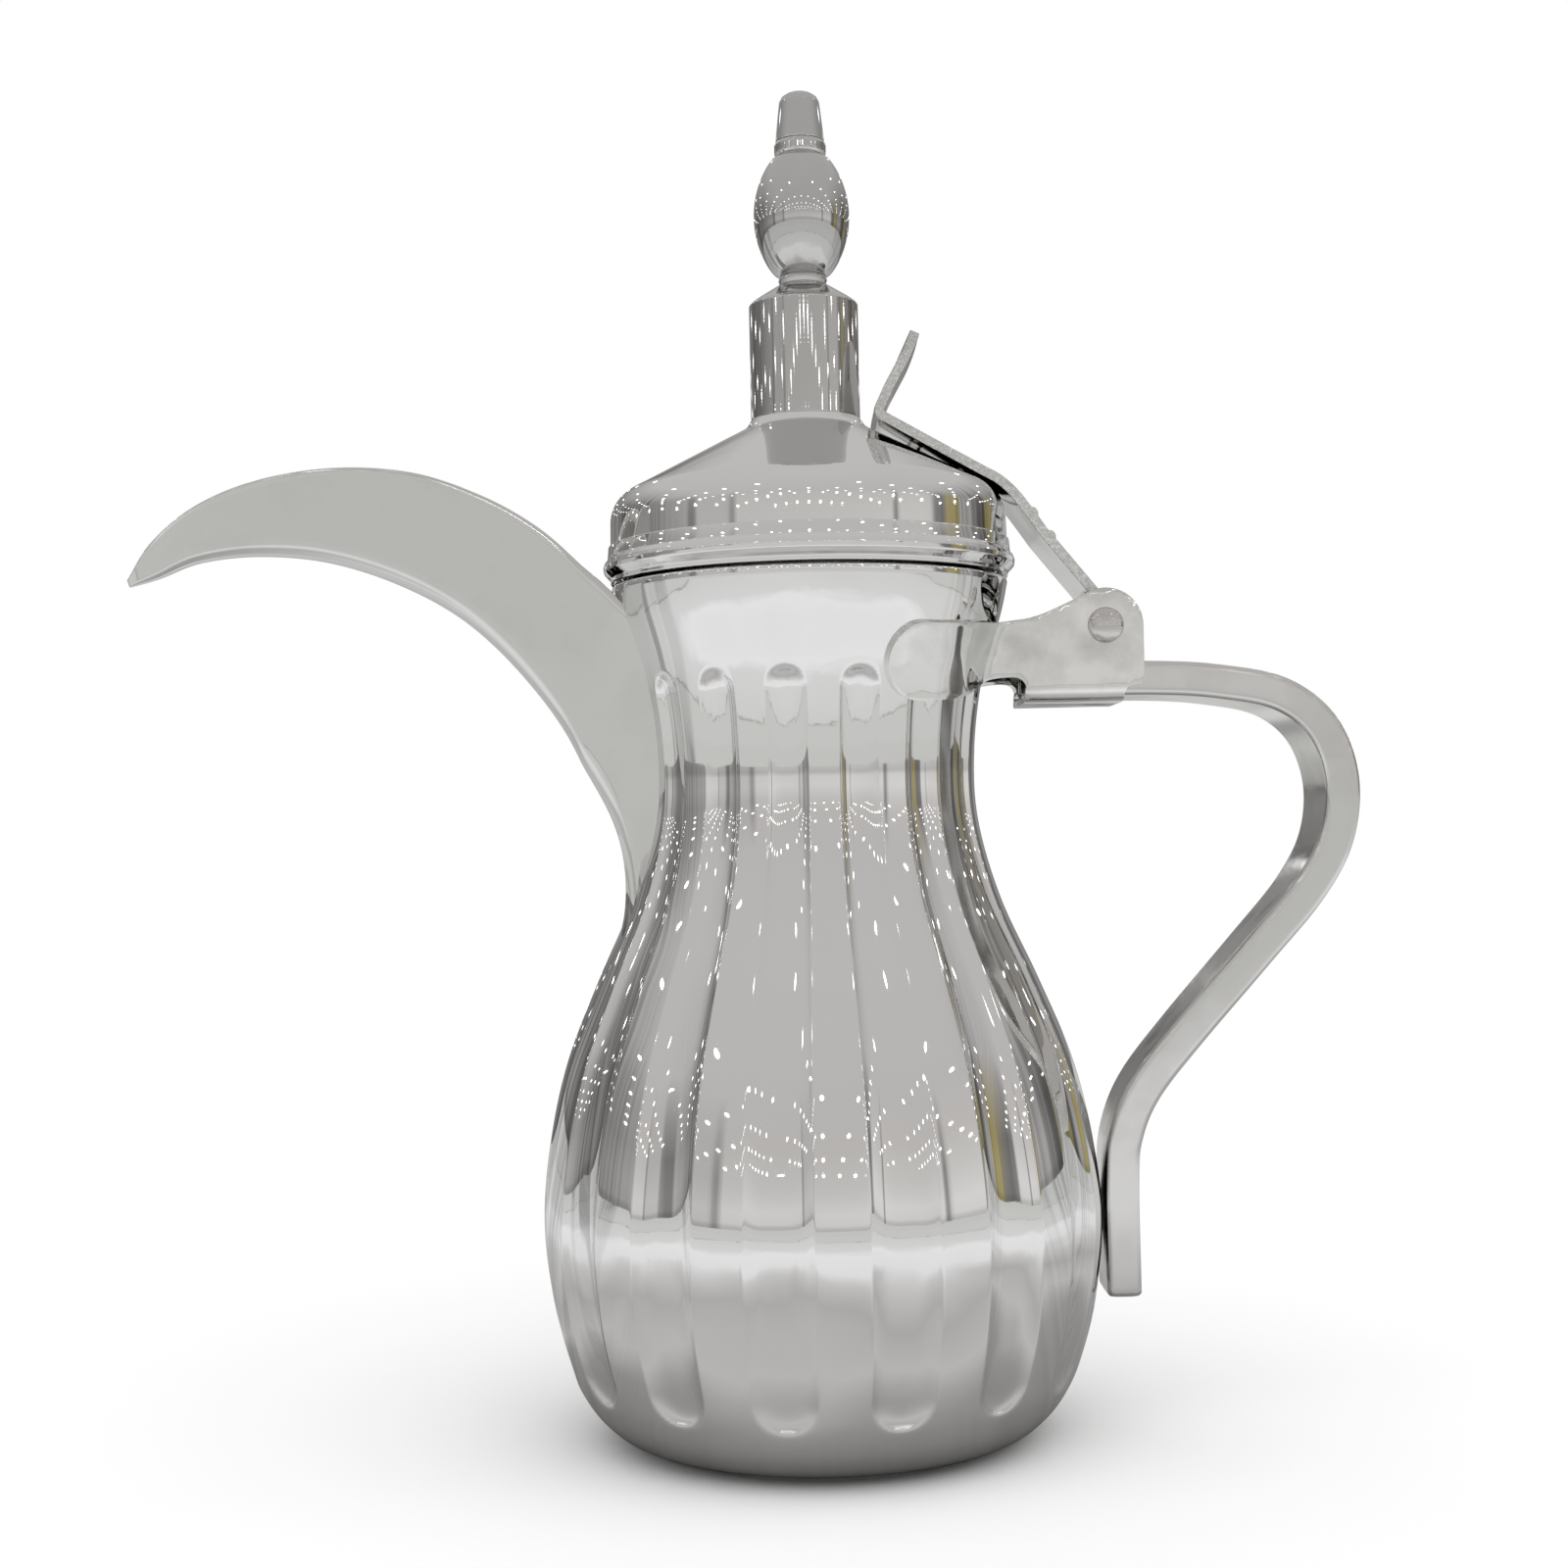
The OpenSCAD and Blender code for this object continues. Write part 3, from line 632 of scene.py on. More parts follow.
def make_beak():
    top, keel = lay_curve(BEAK_TOP, 11), lay_curve(BEAK_KEEL, 11)
    last = len(top) - 1
    turns = list(np.linspace(0, 180, 57))
    rings = []
    for j in range(last + 1):
        u = j / last
        width = 0.9 + 12.5 * u ** 0.75
        thick = min(1.1, 0.55 * width)
        rise = top[j] - keel[j]
        tall = np.linalg.norm(rise)
        meet = max(0.0, (j - last + BLEND_RINGS) / BLEND_RINGS) ** 1.6
        ring = []
        for inset in (0.0, thick):
            w = width - inset
            foot = keel[j] + rise * inset / tall
            arc = []
            for turn in turns:
                a = math.radians(abs(turn - 90))
                side = -1 if turn < 90 else 1
                if abs(turn - 90) < 1e-9:
                    side = 1
                height, spread = beak_section(a)
                flat = foot + (top[j] - foot) * height
                y = side * w * spread
                x = flat[0]
                if meet > 0:
                    bend = 180 - math.degrees(math.asin(max(-1, min(1, y / body_radius(flat[1])))))
                    r = body_radius(flat[1]) - flute_depth(flat[1], bend) - 0.6
                    x += meet * (-math.sqrt(max(r * r - y * y, 0)) - x)
                arc.append((x, y, flat[1]))
            ring += arc if inset == 0 else arc[::-1]
        half = len(turns)
        outer, inner = ring[:half], ring[half:]

        def lip(a, b):
            """Round lip between the outer and inner end of the wall."""
            a, b = np.array(a), np.array(b)
            middle, arm = (a + b) / 2, (a - b) / 2
            up = np.array([rise[0] / tall, 0, rise[1] / tall]) * np.linalg.norm(arm) * 0.8
            return [tuple(middle + arm * math.cos(t) + up * math.sin(t) - up)
                    for t in np.linspace(0, math.pi, 7)[1:-1]]

        drop = np.array([rise[0] / tall, 0, rise[1] / tall]) * thick * 0.4
        outer[0] = tuple(np.array(outer[0]) - drop)
        outer[-1] = tuple(np.array(outer[-1]) - drop)
        inner[0] = tuple(np.array(inner[0]) - drop)
        inner[-1] = tuple(np.array(inner[-1]) - drop)
        near = [tuple(np.array(p) + drop) for p in lip(outer[-1], inner[0])]
        far = [tuple(np.array(p) + drop) for p in lip(inner[-1], outer[0])]
        rings.append(outer + near + inner + far)
    n = len(rings[0])
    verts = [p for ring in rings for p in ring]
    faces = []
    for j in range(last):
        for i in range(n):
            k = (i + 1) % n
            faces.append([j * n + i, j * n + k, (j + 1) * n + k, (j + 1) * n + i])
    size = len(turns)
    for start in (0, last * n):
        for i in range(size - 1):
            far_side = 2 * size + 5 - 1 - i
            faces.append([start + i, start + i + 1, start + far_side - 1, start + far_side])
        faces.append([start + size - 1 + k for k in range(7)])
        faces.append([start + 2 * size + 4 + k for k in range(6)] + [start])
    place_piece("beak", verts, faces, "pot", BEAK_STEEL, ["spout_near", "spout_far"])


make_beak()


# ---- handle ----

HANDLE_CURVE = [(44, 150.7), (68, 150.7), (82, 149.6), (94, 146.8), (102, 140), (105.5, 129.5),
                (104.2, 118), (98.5, 107.6), (88, 95.4), (74, 79.6), (65.2, 68.6), (61.2, 59.5),
                (60.2, 50), (60.2, 26.8)]


def bar_section(half_width, up, down, edge, crown=0.0, arc=6, margin=0.4):
    """Bar section as (across, through), always with the same number of points."""
    edge = min(edge, 0.9 * half_width, 0.9 * min(up, down))
    arcs = []
    for k, (x, y) in enumerate(((1, up), (-1, up), (-1, -down), (1, -down))):
        middle = (x * (half_width - edge), y - math.copysign(edge, y))
        arcs.append([(middle[0] + edge * math.cos(a), middle[1] + edge * math.sin(a))
                     for a in np.linspace(math.pi / 2 * k, math.pi / 2 * (k + 1), arc + 1)])
    out = []
    for k in range(4):
        a, b = np.array(arcs[k][-1]), np.array(arcs[(k + 1) % 4][0])
        span = b - a
        length = np.linalg.norm(span)
        beside = span * min(0.3, margin / length)
        proud = np.array(((0, 1), (-1, 0), (0, -1), (1, 0))[k]) * crown
        out += arcs[k] + [tuple(a + beside), tuple((a + b) / 2 + proud), tuple(b - beside)]
    return out


def make_handle():
    line = lay_curve(HANDLE_CURVE, 14)
    h = headings(line)
    last = len(line) - 1
    run = np.concatenate([[0], np.cumsum(np.linalg.norm(np.diff(line, axis=0), axis=1))])
    rings = []
    for j in list(range(last)) + [last - 0.55, last - 0.3, last - 0.12, last]:
        whole = int(j)
        t = j - whole
        p = line[whole] * (1 - t) + line[min(whole + 1, last)] * t
        d = h[whole]
        u = j / last
        half = (22 - 8 * max(0, (u - 0.35) / 0.65)) / 2
        end = run[last] - (run[whole] * (1 - t) + run[min(whole + 1, last)] * t)
        trim = 1.1 - math.sqrt(max(1.21 - (1.1 - end) ** 2, 0)) if end < 1.1 else 0
        section = bar_section(half - 0.12 - trim, 3.44 - trim, 3.44 - trim, 1.1, 0.06)
        rings.append([(p[0] - d[1] * s[1], s[0], p[1] + d[0] * s[1]) for s in section])
    verts, faces = closed_loft(rings)
    place_piece("handle", verts, faces, "pot", FORGED, ["handle_bar"])


make_handle()


# ---- hinge bracket and pin ----

WING = 11.55
SHEET = 1.2
FOLD = 2.2
FOLD_TOP = 146.7 + FOLD
FLOOR_END = FOLD_TOP - (FOLD * math.pi / 2 + WING - FOLD)
FOLD_START = 41.0


def sheet_place(q, v, side):
    """Middle of the bracket sheet: along the wing, round the neck, and folded under the bar."""
    z, y = v, WING
    if v < FOLD_TOP and q > FOLD_START:
        t = FOLD_TOP - v
        if t < FOLD * math.pi / 2:
            y = WING - FOLD * (1 - math.cos(t / FOLD))
            z = FOLD_TOP - FOLD * math.sin(t / FOLD)
        else:
            y = WING - FOLD - (t - FOLD * math.pi / 2)
            z = FOLD_TOP - FOLD
        return Vector((q, side * y, z))
    around = body_radius(z) + SHEET / 2 + 0.05
    start = math.asin(WING / around)
    corner = around * math.cos(start)
    spot = Vector((0, 0, 0))
    for k in range(9):
        s = q + (k - 4) * 0.42
        if s >= corner:
            spot += Vector((s, side * y, z))
        else:
            a = start + (corner - s) / around
            spot += Vector((around * math.cos(a), side * around * math.sin(a), z))
    return spot / 9


def bracket_outline():
    ear = [(PIN.x + 7.5 * math.cos(math.radians(a)), PIN.z + 7.5 * math.sin(math.radians(a)))
           for a in range(0, 121, 6)]
    back = lay_curve([ear[-1], (51.4, 166.1), (48.3, 164.7), (45.2, 163.5), (41, 162.7), (36.5, 162.3),
                      (31, 162.0), (24, 161.6), (17, 161.2), (11.3, 161.1)], 3)[1:]
    pad = [(11.3 + 7.5 * math.cos(math.radians(a)), 153.6 + 7.5 * math.sin(math.radians(a)))
           for a in range(98, 263, 8)]
    under = lay_curve([(11.3, 146.1), (19, 146.6), (26, 147.7), (31.5, 149.7), (36, 151), (40, 151.3),
                       (41.8, 150.8), (42.6, 149.6), (42.5, FOLD_TOP)], 3)
    low = [(42.3, 147), (42.1, 143), (42.0, FLOOR_END), (62.0, FLOOR_END), (62.0, 145.5),
           (62.2, 147.9), (62.8, 149.0), (64.2, 149.3), (65.4, 149.5), (66.1, 150.4), (66.2, 155)]
    return [tuple(p) for p in ear] + [tuple(p) for p in back] + pad + [tuple(p) for p in under] + low


def fill_outline(outline, step):
    """Even triangles inside an outline."""
    edge = []
    for a, b in zip(outline, outline[1:] + outline[:1]):
        a, b = Vector(a), Vector(b)
        parts = max(1, round((b - a).length / step))
        edge += [a.lerp(b, k / parts) for k in range(parts)]
    ring = np.array([tuple(p) for p in edge])
    nxt = np.roll(ring, -1, axis=0)
    spots = []
    for y in np.arange(ring[:, 1].min(), ring[:, 1].max(), step):
        for x in np.arange(ring[:, 0].min(), ring[:, 0].max(), step):
            crosses = ((ring[:, 1] > y) != (nxt[:, 1] > y))
            cut = ring[:, 0] + (y - ring[:, 1]) * (nxt[:, 0] - ring[:, 0]) / \
                np.where(crosses, nxt[:, 1] - ring[:, 1], 1)
            if np.count_nonzero(crosses & (x < cut)) % 2 == 0:
                continue
            if np.min(np.hypot(ring[:, 0] - x, ring[:, 1] - y)) > 0.55 * step:
                spots.append(Vector((x, y)))
    count = len(edge)
    border = [(k, (k + 1) % count) for k in range(count)]
    verts, _, faces, *_ = geometry.delaunay_2d_cdt(edge + spots, border, [], 1, 1e-6)
    return [(v.x, v.y) for v in verts], [list(f) for f in faces]


def make_bracket():
    flat, tris = fill_outline(bracket_outline(), 0.9)
    bm = bmesh.new()
    for side in (-1, 1):
        made = [bm.verts.new(sheet_place(q, v, side) * MM) for q, v in flat]
        for f in tris:
            ring = [made[k] for k in f]
            bm.faces.new(ring if side < 0 else ring[::-1])
    bmesh.ops.remove_doubles(bm, verts=bm.verts, dist=2e-5)
    bmesh.ops.recalc_face_normals(bm, faces=bm.faces)
    mesh = bpy.data.meshes.new("bracket_blank")
    bm.to_mesh(mesh)
    bm.free()
    mesh.shade_smooth()
    mesh.materials.append(BRACKET_STEEL)
    blank = bpy.data.objects.new("bracket_blank", mesh)
    bpy.context.collection.objects.link(blank)
    wall = blank.modifiers.new("wall", "SOLIDIFY")
    wall.thickness = SHEET * MM
    wall.offset = 0
    soften = blank.modifiers.new("soften", "BEVEL")
    soften.width = 0.22 * MM
    soften.segments = 3
    soften.limit_method = "ANGLE"
    soften.angle_limit = math.radians(50)
    settle(bake(blank, "hinge_yoke"), "pot", ["hinge_bracket"])


make_bracket()

PIN_HALF = pin_high.y
pin_dome = [(3.6 * math.cos(math.radians(a)), 1.7 * math.sin(math.radians(a))) for a in range(8, 90, 8)]
set_pin = set_fasteners(
    "hinge_rivet",
    [(0, -12.4, 0), (2, -12.4, 0), (2, 0, 0), (3.35, 0, 0.1), (3.6, 0.12, 0)]
    + [(r, z, 0) for r, z in pin_dome] + [(0, 1.7, 0)],
    [(PIN.x, -PIN_HALF + 1.7, PIN.z), (PIN.x, PIN_HALF - 1.7, PIN.z)],
    [(math.pi / 2, 0, 0), (-math.pi / 2, 0, 0)], RIVET_STEEL, 72)
settle(set_pin, "pot", ["hinge_pin"])


# ---- lid ----

def shoulder(radius, first, last, steps):
    return [(33 + radius * math.cos(math.radians(a)), 184.6 + radius * math.sin(math.radians(a)), 0)
            for a in np.linspace(first, last, steps)]


CONE = 62.3
turn_piece(
    "spun_dome",
    [(0, CROWN, 0), (11.2, CROWN, 0.2), (11.55, 204.9, 0), (12.1, 204.05, 0), (12.95, 203.35, 0),
     (14.3, 202.62, 0), (16.5, 201.5, 0), (20, 199.65, 0), (25, 197.02, 0), (30, 194.4, 0),
     (33.6, 192.5, 0)]
    + shoulder(7.3, CONE, 2, 26)
    + [(40.33, 182.5, 0), (40.38, 178, 0), (40.4, LIP + 1.5, 0.1), (39.4, LIP + 1.5, 0.1),
       (39.35, 181, 0)] + shoulder(6.3, 2, CONE, 16)
    + [(25, 195.95, 0), (14, 201.7, 0), (11.4, 203.4, 0.6), (10.6, CROWN - 1, 0.4), (0, CROWN - 1, 0)],
    "lid", SPUN, ["lid_dome"], 224)
turn_piece(
    "rolled_rim",
    [(40.25, 179.8, 0.1), (40.8, 179.8, 0.25), (41.0, 177.2, 0.5), (41.6, 176.4, 0.5),
     (41.9, 175.6, 0.6), (41.8, 174.6, 0.6), (41.1, 173.8, 0.4), (40.5, 173.2, 0.4),
     (40.4, LIP, 0.2), (39.4, LIP, 0.2), (39.4, 173.7, 0.2), (40.25, 174.2, 0.2)],
    "lid", SPUN, ["lid_rim"], 224)
turn_piece(
    "lid_sleeve",
    [(36.2, 167.6, 0.4), (37.2, 167.6, 0.4), (37.2, 174.4, 0.5), (39.6, 174.4, 0.2),
     (39.6, 175.4, 0.2), (36.2, 175.4, 1.2)],
    "lid", SPUN, ["lid_collar"], 192)

BORE = 2.05
turn_piece(
    "finial_post",
    [(11.15, CROWN, 0.15), (11.15, 229, 0.35), (10.5, 229.6, 0.4), (9.7, 230.2, 0.7),
     (6.1, 232.5, 0.8), (4.8, 233.3, 0.15), (BORE, 233.3, 0), (BORE, 228, 0), (10.15, 227, 0.4),
     (10.15, CROWN, 0.1)],
    "lid", TURNED, ["finial_column"], 128)
turn_piece(
    "finial_waist",
    [(BORE, 233.3, 0), (4.7, 233.3, 0.2), (5.0, 234.2, 0.5), (4.7, 235.1, 0.2), (BORE, 235.1, 0)],
    "lid", TURNED, ["finial_neck"], 112)
swell = [(4.9 + 4.9 * max(math.sin(math.pi * s), 0) ** 0.65, 235.1 + 24.6 * s, 0)
         for s in 0.5 - 0.5 * np.cos(np.linspace(0, math.pi, 49))]
turn_piece("finial_bulb_turned", [(BORE, 235.1, 0)] + swell + [(BORE, 259.7, 0)],
           "lid", TURNED, ["finial_bulb"], 128)
turn_piece(
    "finial_bead_ring",
    [(BORE, 259.7, 0), (4.8, 259.7, 0.2), (5.3, 260.4, 0.5), (5.3, 262.1, 0.5), (4.8, 262.9, 0.2),
     (BORE, 262.9, 0)],
    "lid", TURNED, ["finial_bead"], 112)
turn_piece(
    "finial_knob",
    [(BORE, 262.9, 0), (5.0, 262.9, 0.15), (4.4, 268.5, 2), (4.1, 271, 0.7), (3.6, 272, 0.7),
     (2.4, 272.8, 1), (0, 273, 0), (0, 268.6, 0), (BORE, 268.5, 0)],
    "lid", TURNED, ["finial_tip"], 112)


def make_nut():
    """Hexagon nut with its corners chamfered on both faces."""
    low, high = node_box("finial_nut")
    flats = 24
    rings = []
    for z, r, limit in ((low.z, BORE, 9), (low.z, 3.45, 9), (low.z + 0.32, 9, 4.04),
                        (high.z - 0.32, 9, 4.04), (high.z, 3.45, 9), (high.z, BORE, 9)):
        ring = []
        for k in range(flats):
            a = 2 * math.pi * k / flats
            across = 3.5 / math.cos((a + math.pi / 6) % (math.pi / 3) - math.pi / 6)
            radius = min(r, across) if limit == 9 else min(across, limit)
            ring.append((radius * math.cos(a + math.pi / 6), radius * math.sin(a + math.pi / 6), z))
        rings.append(ring)
    verts, faces = loft(rings, caps=False)
    top = (len(rings) - 1) * flats
    faces += [[top + i, top + (i + 1) % flats, (i + 1) % flats, i] for i in range(flats)]
    nut = place_piece("stud_nut", verts, faces, "lid", RIVET_STEEL, ["finial_nut"])
    nut.data.set_sharp_from_angle(angle=math.radians(25))


make_nut()
for node in ("finial_stud", "finial_washer"):
    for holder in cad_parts[node].material_slots:
        holder.material = RIVET_STEEL


# ---- lever ----

LEVER_CORNER = (14.2, 205.05)
LEVER_BEND = [(35, 193.1), (38.3, 191.2), (41.3, 188.4), (44.1, 184.7), (47, 180.5)]
TAB_SLOPE, TAB_LENGTH = math.radians(65), 20.0
RIDGES = [(45.6, 184.9), (48.9, 180.1)]
RIVETS_AT = (22.4, 31.9)


def lever_line():
    """Centre line of the lever from the thumb tip, over the lid and rolled round the pin."""
    tip = (LEVER_CORNER[0] + TAB_LENGTH * math.cos(TAB_SLOPE),
           LEVER_CORNER[1] + TAB_LENGTH * math.sin(TAB_SLOPE))
    fold = round_corners([(*tip, 0), (*LEVER_CORNER, 1.5), (*LEVER_BEND[0], 0)], False, 10, 0.3)
    strap = lay_curve(LEVER_BEND, 8)
    start = strap[-1]
    along = np.array([PIN.x, PIN.z]) - start
    reach, hold = np.linalg.norm(along), 2.93
    aim = math.atan2(along[1], along[0])
    roll = []
    first = math.degrees(aim + math.pi - math.acos(hold / reach))
    for a in np.linspace(first, first - 292, 44):
        roll.append((PIN.x + hold * math.cos(math.radians(a)), PIN.z + hold * math.sin(math.radians(a))))
    return [tuple(p) for p in fold[:-1]] + [tuple(p) for p in strap] + roll


def resample(line, step):
    """The same line with points at even distances."""
    line = np.array(line, float)
    run = np.concatenate([[0], np.cumsum(np.linalg.norm(np.diff(line, axis=0), axis=1))])
    at = np.linspace(0, run[-1], round(run[-1] / step) + 1)
    return np.stack([np.interp(at, run, line[:, k]) for k in (0, 1)], axis=1), at


def make_lever():
    line, at = resample(lever_line(), 0.45)
    tip_at = [0.02, 0.08, 0.2]
    line = np.vstack([line[:1] * (1 - t) + line[1:2] * t for t in tip_at] + [line[1:]])
    at = np.concatenate([[0.45 * t for t in tip_at], at[1:]])
    h = headings(line)
    total = at[-1]
    rings, marks = [], []
    for j, p in enumerate(line):
        d = h[j]
        near_corner = min(1, max(0, (at[j] - 16) / 5))
        half = 9 + near_corner
        if at[j] < 9:
            half = math.sqrt(max(81 - (9 - at[j]) ** 2, 0.3))
        near_pin = math.hypot(p[0] - PIN.x, p[1] - PIN.z)
        thick = 1.0 if near_pin > 6 else 0.84 + 0.16 * max(0, near_pin - 2.95) / 3.05
        up = thick
        for x, z in RIDGES:
            gap = abs((p[0] - x) * d[0] + (p[1] - z) * d[1])
            if at[j] < total - 30 and gap < 0.95:
                up += 0.55 * math.sqrt(1 - (gap / 0.95) ** 2)
        section = bar_section(half, up, thick, 0.22, 0.0, 4, 0.25)
        cup = 1.1 * min(1, max(0, 1 - at[j] / 14))
        section = [(s[0], s[1] + cup * (s[0] / 9) ** 2) for s in section]
        rings.append([(p[0] - d[1] * s[1], s[0], p[1] + d[0] * s[1]) for s in section])
        marks += [1.0 if abs(s[0]) > half - 0.12 else 0.0 for s in section]
    verts, faces = closed_loft(rings)
    marks += [1.0, 1.0]
    lever = place_piece("thumb_lever", verts, faces, "lid", STRAP_STEEL,
                        ["lid_lever"], tidy=False)
    bm = bmesh.new()
    bm.from_mesh(lever.data)
    bmesh.ops.recalc_face_normals(bm, faces=bm.faces)
    bm.to_mesh(lever.data)
    bm.free()
    cut = lever.data.attributes.new("cut_edge", "FLOAT", "POINT")
    cut.data.foreach_set("value", marks)


make_lever()

slope = math.atan2(LEVER_CORNER[1] - LEVER_BEND[0][1], LEVER_BEND[0][0] - LEVER_CORNER[0])
rivet_dome = [(2.6 * math.cos(math.radians(a)), 1.5 * math.sin(math.radians(a)), 0)
              for a in range(10, 90, 10)]
rivet_spots = []
for x in RIVETS_AT:
    z = LEVER_CORNER[1] - (x - LEVER_CORNER[0]) * math.tan(slope)
    rivet_spots.append((x + math.sin(slope), 0, z + math.cos(slope)))
rivets = set_fasteners(
    "lever_rivet_pair",
    [(0, -5, 0), (2.1, -5, 0.3), (2.3, -4.3, 0.2), (1.5, -4.1, 0), (1.5, 0, 0), (2.4, 0, 0.1),
     (2.6, 0.12, 0)] + rivet_dome + [(0, 1.5, 0)],
    rivet_spots, [(0, slope, 0), (0, slope, 0)], RIVET_STEEL, 48)
settle(rivets, "lid", ["lever_rivets"])


# ---- studio ----

def even(tree, value):
    """The same value in all three channels."""
    return add_node(tree, "ShaderNodeCombineXYZ", X=value, Y=value, Z=value).outputs[0]


def fade(tree, value, start, end, first, last):
    """Value carried from one range to another and held at its ends."""
    return add_node(tree, "ShaderNodeMapRange", Value=value, From_Min=start, From_Max=end,
                    To_Min=first, To_Max=last).outputs["Result"]


def set_stops(ramp, stops):
    """Colour stops of a ramp, each (place, colour)."""
    while len(ramp.elements) < len(stops):
        ramp.elements.new(0.5)
    for element, (where, tone) in zip(ramp.elements, stops):
        element.position = where
        element.color = (*tone, 1)


def make_floor():
    """Pale round floor, lit evenly; in mirror reflections it carries a painted reflection with a painted
    shadow.
    """
    rim = 96
    verts = [(0, 0, 0)] + [(6 * math.cos(2 * math.pi * k / rim), 6 * math.sin(2 * math.pi * k / rim), 0)
                           for k in range(rim)]
    mesh = bpy.data.meshes.new("studio_floor")
    mesh.from_pydata(verts, [], [[0, 1 + k, 1 + (k + 1) % rim] for k in range(rim)])
    floor = bpy.data.objects.new("studio_floor", mesh)
    bpy.context.collection.objects.link(floor)
    floor.location.z = -0.00005
    paint = bpy.data.materials.new("studio_floor_paint")
    paint.use_nodes = True
    tree = paint.node_tree
    shader = tree.nodes["Principled BSDF"]
    shader.inputs["Roughness"].default_value = 0.9
    shader.inputs["Specular IOR Level"].default_value = 0.1
    path = add_node(tree, "ShaderNodeLightPath").outputs["Is Glossy Ray"]
    at = add_node(tree, "ShaderNodeTexCoord").outputs["Object"]
    xyz = add_node(tree, "ShaderNodeSeparateXYZ", Vector=at).outputs
    away = sum_up(tree, "SQRT", sum_up(tree, "ADD", sum_up(tree, "MULTIPLY", xyz[0], xyz[0]),
                                       sum_up(tree, "MULTIPLY", xyz[1], xyz[1])))
    wander = add_node(tree, "ShaderNodeTexNoise", Vector=at, Scale=3.2, Detail=3.0,
                      Distortion=0.6).outputs["Fac"]
    far = sum_up(tree, "ADD", away, sum_up(tree, "MULTIPLY", sum_up(tree, "SUBTRACT", wander, 0.5), 0.35))
    # Painted reflection tones, seen only in mirror reflections: a painted shadow dark close round the pot,
    # then pale rings and a thin dark line further out.
    top = add_node(tree, "ShaderNodeValToRGB", Fac=sum_up(tree, "MULTIPLY", far, 0.5))
    set_stops(top.color_ramp, [
        (0.0, (0.22, 0.215, 0.21)), (0.035, (0.36, 0.35, 0.345)), (0.05, (0.56, 0.55, 0.545)),
        (0.075, (0.46, 0.45, 0.445)), (0.105, (0.60, 0.595, 0.59)), (0.135, (0.80, 0.80, 0.805)),
        (0.19, (0.84, 0.84, 0.845)), (0.23, (0.70, 0.70, 0.70)), (0.40, (0.66, 0.66, 0.65)),
        (0.424, (0.64, 0.64, 0.63)), (0.427, (0.42, 0.42, 0.42)), (0.434, (0.42, 0.42, 0.42)),
        (0.438, (0.60, 0.605, 0.585)), (0.75, (0.60, 0.605, 0.59)), (1.0, (0.58, 0.58, 0.565))])
    # Painted shade in the reflections: the floor behind the pot darkened in streaks.
    turn = sum_up(tree, "MULTIPLY_ADD", sum_up(tree, "ARCTAN2", xyz[1], xyz[0]), 0.5 / math.pi, 0.5)
    stripes = add_node(tree, "ShaderNodeTexNoise", {"noise_dimensions": "1D"}, W=turn, Scale=36.0,
                       Detail=3.0, Roughness=0.7).outputs["Fac"]
    stripes = fade(tree, stripes, 0.36, 0.58, 0.35, 0.9)
    behind = fade(tree, xyz[1], -0.06, 0.22, 0.0, 1.0)
    dim = sum_up(tree, "ADD", sum_up(tree, "SUBTRACT", 1.0, behind),
                 sum_up(tree, "MULTIPLY", behind, stripes))
    shade = even(tree, dim)
    # Painted reflection tones multiplied by the painted shade behind the pot.
    mirrored = add_node(tree, "ShaderNodeMix", {"data_type": "RGBA", "blend_type": "MULTIPLY"})
    mirrored.inputs[0].default_value = 0.8
    tree.links.new(top.outputs["Color"], mirrored.inputs[6])
    tree.links.new(shade, mirrored.inputs[7])
    # Camera and diffuse rays see the even pale floor; only glossy rays see the painted reflection and
    # painted shadow.
    tone = add_node(tree, "ShaderNodeMix", {"data_type": "RGBA"})
    tree.links.new(path, tone.inputs[0])
    tone.inputs[6].default_value = (0.93, 0.93, 0.93, 1)
    tree.links.new(mirrored.outputs[2], tone.inputs[7])
    tree.links.new(tone.outputs[2], shader.inputs["Base Color"])
    mesh.materials.append(paint)


def grey(tone):
    """Slightly warm grey of the given tone."""
    return tone, tone * 0.992, tone * 0.985


